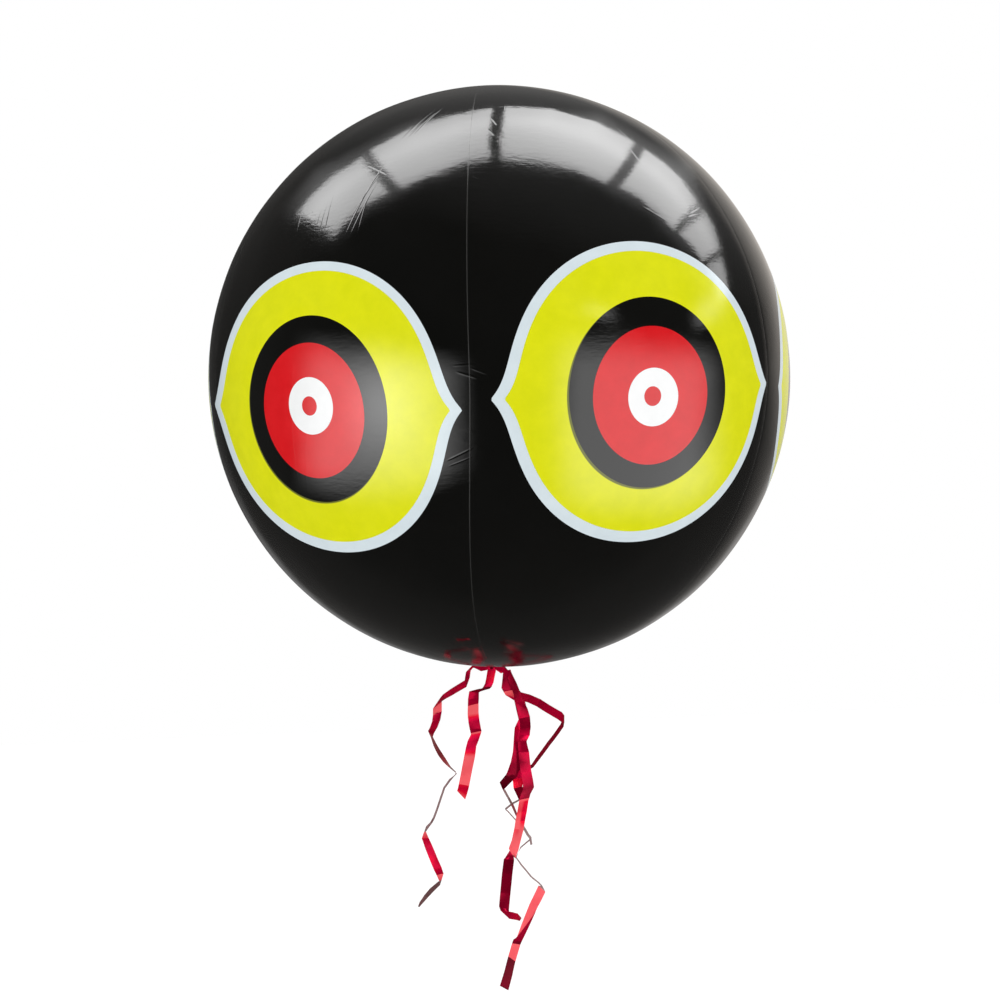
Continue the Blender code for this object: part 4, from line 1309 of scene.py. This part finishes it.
def black_vinyl():
    """Glossy black film: a faint grey bloom in patches, a weld line painted paler as a highlight,
    and duller smears where it was handled."""
    material, wire, shader = new_finish("glossy_black_vinyl")
    place, normal, weld = skin_relief(wire, vinyl_fuzz)
    bloom = wire.noise(place, 9.0, 4.0, 0.6)
    colour = wire.mix(wire.range(bloom, 0.35, 0.7, 0.0, 1.0),
                      (0.0030, 0.0031, 0.0027, 1), (0.0044, 0.0043, 0.0038, 1))
    # The weld line's pale grey is a painted highlight; its extra roughness is the seam's own
    weld = wire.math("MULTIPLY", weld, 0.6)
    wire.put(shader.inputs["Base Color"], wire.mix(weld, colour, (0.075, 0.075, 0.072, 1)))
    smear = wire.noise(place, 26.0, 5.0, 0.6, (1.0, 1.0, 0.45))
    rough = wire.math("MULTIPLY_ADD", weld, 0.3, wire.range(smear, 0.4, 0.75, 0.06, 0.13))
    low = wire.range(wire.parts(place)["Z"], *lower_skin, 0.0, 0.16)
    wire.put(shader.inputs["Roughness"], wire.math("ADD", rough, low))
    wire.put(shader.inputs["IOR"], 1.52)
    wire.put(shader.inputs["Normal"], normal)
    return material


def ink(name, low, high, rough):
    """Printed ink on the skin: its coat varies a little in colour and gloss. The black print under
    the yellow shows through it near the hole."""
    material, wire, shader = new_finish(name)
    place, normal, _ = skin_relief(wire, ink_fuzz)
    mottle = wire.noise(place, 60.0, 4.0, 0.65)
    colour = wire.mix(wire.range(mottle, 0.35, 0.7, 0.0, 1.0), (*low, 1), (*high, 1))
    if name == "yellow_ink":
        under = wire.range(wire.attribute("underprint"), 0.0, 0.10, 0.0, 1.0)
        colour = wire.mix(under, colour, (0.15, 0.16, 0.018, 1))
    wire.put(shader.inputs["Base Color"], colour)
    coat = wire.noise(place, 30.0, 3.0, 0.5)
    wire.put(shader.inputs["Roughness"], wire.range(coat, 0.3, 0.7, rough * 0.85, rough * 1.2))
    wire.put(shader.inputs["IOR"], 1.5)
    wire.put(shader.inputs["Normal"], normal)
    return material


def plain_vinyl(name, colour, rough, grain):
    """Moulded or welded vinyl: a fine grain, and edges rubbed paler by handling."""
    material, wire, shader = new_finish(name)
    place = wire.place()
    fine = wire.noise(place, 900.0, 3.0, 0.6)
    patch = wire.noise(place, 120.0, 4.0, 0.6)
    worn = wire.range(wire.add("ShaderNodeNewGeometry").outputs["Pointiness"], 0.52, 0.60, 0.0, 0.6)
    paler, rubbed = [c * 1.5 for c in colour], [c * 2 + 0.02 for c in colour]
    base = wire.mix(wire.range(patch, 0.3, 0.7, 0.0, 1.0), (*colour, 1), (*paler, 1))
    wire.put(shader.inputs["Base Color"], wire.mix(worn, base, (*rubbed, 1)))
    wire.put(shader.inputs["Roughness"], wire.range(patch, 0.3, 0.7, rough * 0.8, rough * 1.3))
    wire.put(shader.inputs["Normal"], wire.bump(wire.math("MULTIPLY", fine, grain)))
    return material


def nickel():
    """Nickel plate with a fine grain and a few dull spots."""
    material, wire, shader = new_finish("nickel_plate")
    spots = wire.noise(wire.place(), 260.0, 4.0, 0.6)
    wire.put(shader.inputs["Base Color"], wire.mix(
        wire.range(spots, 0.4, 0.7, 0.0, 1.0), (0.66, 0.63, 0.58, 1), (0.50, 0.48, 0.44, 1)))
    wire.put(shader.inputs["Roughness"], wire.range(spots, 0.35, 0.75, 0.16, 0.38))
    wire.put(shader.inputs["Metallic"], 1.0)
    fine = wire.noise(wire.place(), 2200.0, 2.0, 0.5)
    wire.put(shader.inputs["Normal"], wire.bump(wire.math("MULTIPLY", fine, nickel_grain)))
    return material


def foil(name, steps, rough):
    """Metallised film. Its painted light, kept on each facet, is the share along steps of colour and
    metal: low shares are painted shade, and the palest, which scatter the most, a painted highlight.
    Fine and broad crumples break its gloss."""
    material, wire, shader = new_finish(name)
    place = wire.place()
    crumple = wire.noise(place, 420.0, 3.0, 0.5)
    broad = wire.noise(place, 60.0, 2.0, 0.4)
    # The facet's painted shade and highlight, varied a little at random
    painted_light = wire.math("ADD", wire.attribute("foil_tone"), wire.range(broad, 0.3, 0.7, -0.035, 0.035))
    wire.put(shader.inputs["Base Color"], wire.ramp(painted_light, steps))
    wire.put(shader.inputs["Metallic"], wire.range(painted_light, 0.6, 0.95, 0.4, 0.0))
    wire.put(shader.inputs["Roughness"], wire.range(crumple, 0.3, 0.7, rough * 0.8, rough * 1.25))
    for socket, value in (("IOR", 1.25), ("Specular Tint", (*steps[2][1], 1)),
                          ("Coat Weight", 0.05), ("Coat Roughness", 0.12)):
        wire.put(shader.inputs[socket], value)
    height = wire.math("MULTIPLY", crumple, foil_crumple)
    wire.put(shader.inputs["Normal"],
             wire.bump(wire.math("MULTIPLY_ADD", broad, foil_wave, height)))
    return material


# Studio: the overhead row of soft boxes and the two in front are placed so that the ball mirrors
# them where the photograph shows them. Upper and lower edges of each mirrored shape, in its frame.
soft_boxes = (
    ("row_1", 5.6, 0.03, ((296, 213), (311, 194), (329, 177), (363, 156)),
     ((334, 237), (348, 222), (366, 207), (392, 193))),
    ("row_2", 5.8, 0.02, ((369, 151), (411, 129), (452, 115), (494, 107)),
     ((401, 189), (430, 175), (461, 164), (492, 158))),
    ("row_3", 5.8, 0.02, ((505, 106), (550, 108), (597, 122), (636, 142)),
     ((501, 158), (535, 160), (574, 171), (607, 185))),
    ("row_4", 5.4, 0.03, ((644, 147), (663, 160), (682, 178), (700, 204)),
     ((617, 189), (637, 200), (656, 216), (674, 232))),
    ("row_5", 4.6, 0.05, ((705, 209), (712, 222), (717, 235), (721, 250)),
     ((677, 235), (686, 243), (694, 252), (702, 262))),
    ("row_6", 3.6, 0.10, ((722, 254), (725, 264), (728, 276), (730, 290)),
     ((704, 265), (710, 277), (716, 290), (720, 304))),
    ("glow_left", 0.8, 0.30, ((270, 214), (310, 168), (400, 122), (500, 98)),
     ((330, 262), (370, 222), (430, 186), (500, 170))),
    ("glow_right", 0.9, 0.30, ((480, 98), (600, 110), (690, 160), (730, 240)),
     ((480, 170), (574, 182), (648, 222), (704, 290))),
    ("front_left", 2.5, 0.26, ((288, 325), (345, 330), (410, 338), (478, 352)),
     ((288, 500), (345, 508), (410, 508), (484, 478))),
    ("front_left_core", 3.6, 0.50, ((330, 334), (365, 332), (402, 336), (442, 346)),
     ((330, 474), (365, 482), (402, 480), (442, 466))),
    ("front_right", 2.35, 0.24, ((542, 322), (600, 326), (665, 328), (732, 338)),
     ((542, 512), (600, 528), (665, 528), (732, 502))),
    ("glint_left", 2.2, 0.45, ((572, 296), (590, 300), (608, 304), (626, 308)),
     ((572, 312), (590, 318), (608, 324), (626, 330))),
    ("glint_right", 2.0, 0.45, ((684, 300), (700, 292), (716, 286), (732, 280)),
     ((684, 336), (700, 332), (716, 322), (732, 310))),
)


# How far from the ball's middle the boxes hang, how much farther the two wide glows do, and the
# faces of each along and across
studio_reach = 3.2
glow_reach_share = 1.06
box_rows = 6
box_columns = 12
# A box of the overhead row dims towards its near and far edge: the edge, where it is full again,
# both as shares across it, and the least light
row_dims = ((0.0, 0.38, 0.58), (1.0, 0.80, 0.74))


def mirrored_point(x, y, reach):
    """Where the line of sight through a point of the frame, mirrored by the ball, comes to a
    distance from the ball's middle."""
    out, way = seen_on_ball(x, y)
    start = out * ball_radius
    half = start @ way
    run = -half + math.sqrt(half ** 2 - start @ start + reach ** 2)
    return start + way * run + ball_middle


def add_soft_box(name, strength, feather, upper, lower):
    """A curved diffuser: each of its points lies where the mirrored line of sight from the frame
    reaches the studio's radius. It glows less towards its edges, and only gloss shows it."""
    reach = studio_reach * (glow_reach_share if name.startswith("glow") else 1.0)
    rows = []
    for share in np.linspace(0, 1, box_rows + 1):
        edge = np.array(upper, float) * (1 - share) + np.array(lower, float) * share
        at = np.linspace(0, len(edge) - 1, box_columns + 1)
        x, y = (np.interp(at, np.arange(len(edge)), edge[:, i]) for i in (0, 1))
        rows.append([mirrored_point(*point, reach) for point in zip(x, y)])
    mesh = sheet_mesh(f"soft_box_{name}", np.array(rows))
    material = bpy.data.materials.new(mesh.name)
    material.use_nodes = True
    material.node_tree.nodes.clear()
    wire = Wiring(material.node_tree)
    place = wire.parts(wire.add("ShaderNodeTexCoord").outputs["UV"])
    level = strength
    for side in place[:2]:
        middle = wire.math("ABSOLUTE", wire.math("SUBTRACT", side, 0.5))
        fade = wire.range(middle, 0.5, 0.5 - feather, 0.0, 1.0, "SMOOTHSTEP")
        level = wire.math("MULTIPLY", fade, level)
    if name.startswith("row"):
        for start, full, least in row_dims:
            dim = wire.range(place[1], start, full, least, 1.0, "SMOOTHSTEP")
            level = wire.math("MULTIPLY", dim, level)
    glow = wire.add("ShaderNodeEmission")
    wire.put(glow.inputs["Strength"], level)
    over = wire.add("ShaderNodeAddShader")
    wire.put(over.inputs[0], glow.outputs[0])
    wire.put(over.inputs[1], wire.add("ShaderNodeBsdfTransparent").outputs[0])
    wire.put(wire.add("ShaderNodeOutputMaterial").inputs["Surface"], over.outputs[0])
    box = add_object(mesh, material)
    for ray in ("camera", "diffuse", "shadow", "transmission"):
        setattr(box, f"visible_{ray}", False)


# What gloss sees of the room. From straight behind the camera to straight before it: a share of
# the way and the level there, tinted a little warm
room_stops = (
    (0.0, 0.03), (0.45, 0.045), (0.60, 0.075), (0.80, 0.07), (0.87, 0.09), (0.905, 0.12),
    (0.94, 0.13), (0.985, 0.14), (0.9985, 0.8),
)
room_tint = (1.0, 0.97, 0.94)
# The ways to the card, the ceiling and the dark side of the room, as +X is right and +Y is behind
card_way = (0.44, 0.898, 0.02)
card_tint = (1.0, 0.92, 0.84, 1)
ceiling_way = (0.30, 0.25, 0.92)
dark_way = (-0.44, 0.898, 0.0)
# The strip low behind: how far up its way leads, and the spread about that
strip_height = -0.30
strip_width = 0.13


def add_world():
    """White to the camera. Gloss sees a dark room, darker at the left behind, white paper straight
    behind, a warm card at the right behind, a pale ceiling and a pale strip low behind. Everything
    else gets plain even light, a little stronger from above."""
    world = bpy.data.worlds.new("studio")
    bpy.context.scene.world = world
    world.use_nodes = True
    world.node_tree.nodes.clear()
    wire = Wiring(world.node_tree)
    black = (0, 0, 0, 1)
    way = wire.add("ShaderNodeTexCoord").outputs["Generated"]
    up = wire.parts(way)["Z"]
    ahead = wire.dot(way, view_forward)
    room = wire.ramp(wire.range(ahead, -1.0, 1.0, 0.0, 1.0), [
        (at, [level * tint for tint in room_tint]) for at, level in room_stops
    ])
    room = wire.mix(wire.range(wire.dot(way, dark_way), 0.84, 0.97, 1.0, 0.42), black, room)
    card = wire.math("MULTIPLY", wire.range(wire.dot(way, card_way), 0.84, 0.99, 0.0, 0.62),
                     wire.range(up, -0.20, 0.0, 0.25, 1.0))
    card = wire.mix(card, black, card_tint)
    ceiling = wire.range(wire.dot(way, ceiling_way), 0.55, 0.95, 0.0, 0.17)
    strip = wire.math("MULTIPLY", wire.bell(wire.math("SUBTRACT", up, strip_height), strip_width),
                      wire.range(ahead, 0.82, 0.90, 0.0, 0.20))
    colour = wire.plus(wire.plus(room, card), wire.math("ADD", ceiling, strip))
    even = wire.range(up, -1.0, 1.0, 0.92, 1.10)
    path = wire.add("ShaderNodeLightPath").outputs
    colour = wire.mix(path["Is Glossy Ray"], even, colour)
    open_to = wire.math("MAXIMUM", path["Is Camera Ray"], path["Is Transmission Ray"])
    back = wire.add("ShaderNodeBackground")
    wire.put(back.inputs["Color"], wire.mix(open_to, colour, (1, 1, 1, 1)))
    wire.put(wire.add("ShaderNodeOutputWorld").inputs["Surface"], back.outputs[0])
    world.cycles.sampling_method = "NONE"


# The floor is twice this wide. The glow only makes up what the camera would see too dark
floor_half = 6.0
floor_height = -2.3
paper_tone = 0.92
paper_rough = 0.9
paper_glow = 0.14


def add_floor():
    """Pale paper far below the hanging ball. It is as white as the backdrop to the camera, keeps
    the ball's soft shadow, and lies outside what the ball's dark lower half mirrors."""
    x, y = np.meshgrid(*[np.linspace(-floor_half, floor_half, 3)] * 2)
    mesh = sheet_mesh("paper_floor", np.stack([x, y, 0 * x + floor_height], axis=-1))
    material, wire, shader = new_finish("pale_paper")
    wire.put(shader.inputs["Roughness"], paper_rough)
    wire.put(shader.inputs["Base Color"], (*[paper_tone] * 3, 1))
    wire.put(shader.inputs["Emission Color"], (1, 1, 1, 1))
    camera_ray = wire.add("ShaderNodeLightPath").outputs["Is Camera Ray"]
    wire.put(shader.inputs["Emission Strength"], wire.math("MULTIPLY", camera_ray, paper_glow))
    floor = add_object(mesh, material)
    floor.visible_glossy = False


def build():
    add_camera()
    crease_group()
    seam_group()
    skin = black_vinyl()
    inks = {
        "outline": ink("pale_blue_grey_ink", (0.66, 0.75, 0.79), (0.70, 0.79, 0.83), 0.16),
        "yellow": ink("yellow_ink", (0.71, 0.735, 0.0), (0.77, 0.785, 0.0), 0.15),
        "red": ink("red_ink", (0.66, 0.003, 0.007), (0.72, 0.005, 0.010), 0.15),
        "white": ink("white_ink", (0.88, 0.89, 0.89), (0.92, 0.93, 0.93), 0.15),
    }
    add_panels(skin)
    add_eyes(inks)
    patch = plain_vinyl("welded_vinyl", (0.007, 0.007, 0.006), 0.20, 0.000004)
    add_patch("top_weld_patch", "top_patch", 1, patch)
    add_patch("bottom_weld_patch", "bottom_patch", -1, patch)
    tab = plain_vinyl("tab_sheet_vinyl", (0.009, 0.009, 0.008), 0.25, 0.000006)
    add_tab("hanging_tab", "hang_tab", hang_place, hang_axes, hang_tab_size, hang_hole,
            hang_hole_reach, hang_weld, tab)
    add_eyelet(nickel())
    add_tab("lower_tab", "streamer_tab", low_tab_place, low_tab_axes, low_tab_size, low_hole,
            low_hole_reach, low_weld, tab)
    # The face's steps run from painted shade through the foil's own crimson to a painted coral highlight;
    # the back's from painted shade through its own grey-brown to a painted pale highlight
    red = foil("red_foil_face", (
        (0.0, (0.11, 0.0, 0.008)), (0.12, (0.14, 0.0, 0.010)), (0.56, (0.58, 0.0, 0.038)),
        (0.78, (0.78, 0.003, 0.028)), (1.0, (1.0, 0.13, 0.15)),
    ), 0.24)
    back = foil("foil_back", (
        (0.0, (0.12, 0.06, 0.06)), (0.35, (0.28, 0.13, 0.13)), (0.56, (0.40, 0.25, 0.25)),
        (1.0, (0.60, 0.42, 0.42)),
    ), 0.30)
    add_knot(red)
    for name, (layer, rows) in streamers.items():
        add_streamer(name, layer, rows, (red, back, red))
    add_valve(plain_vinyl("moulded_valve_vinyl", (0.012, 0.012, 0.011), 0.28, 0.000008))
    for box in soft_boxes:
        add_soft_box(*box)
    add_world()
    add_floor()
    bpy.context.scene.view_settings.view_transform = "Standard"


build()
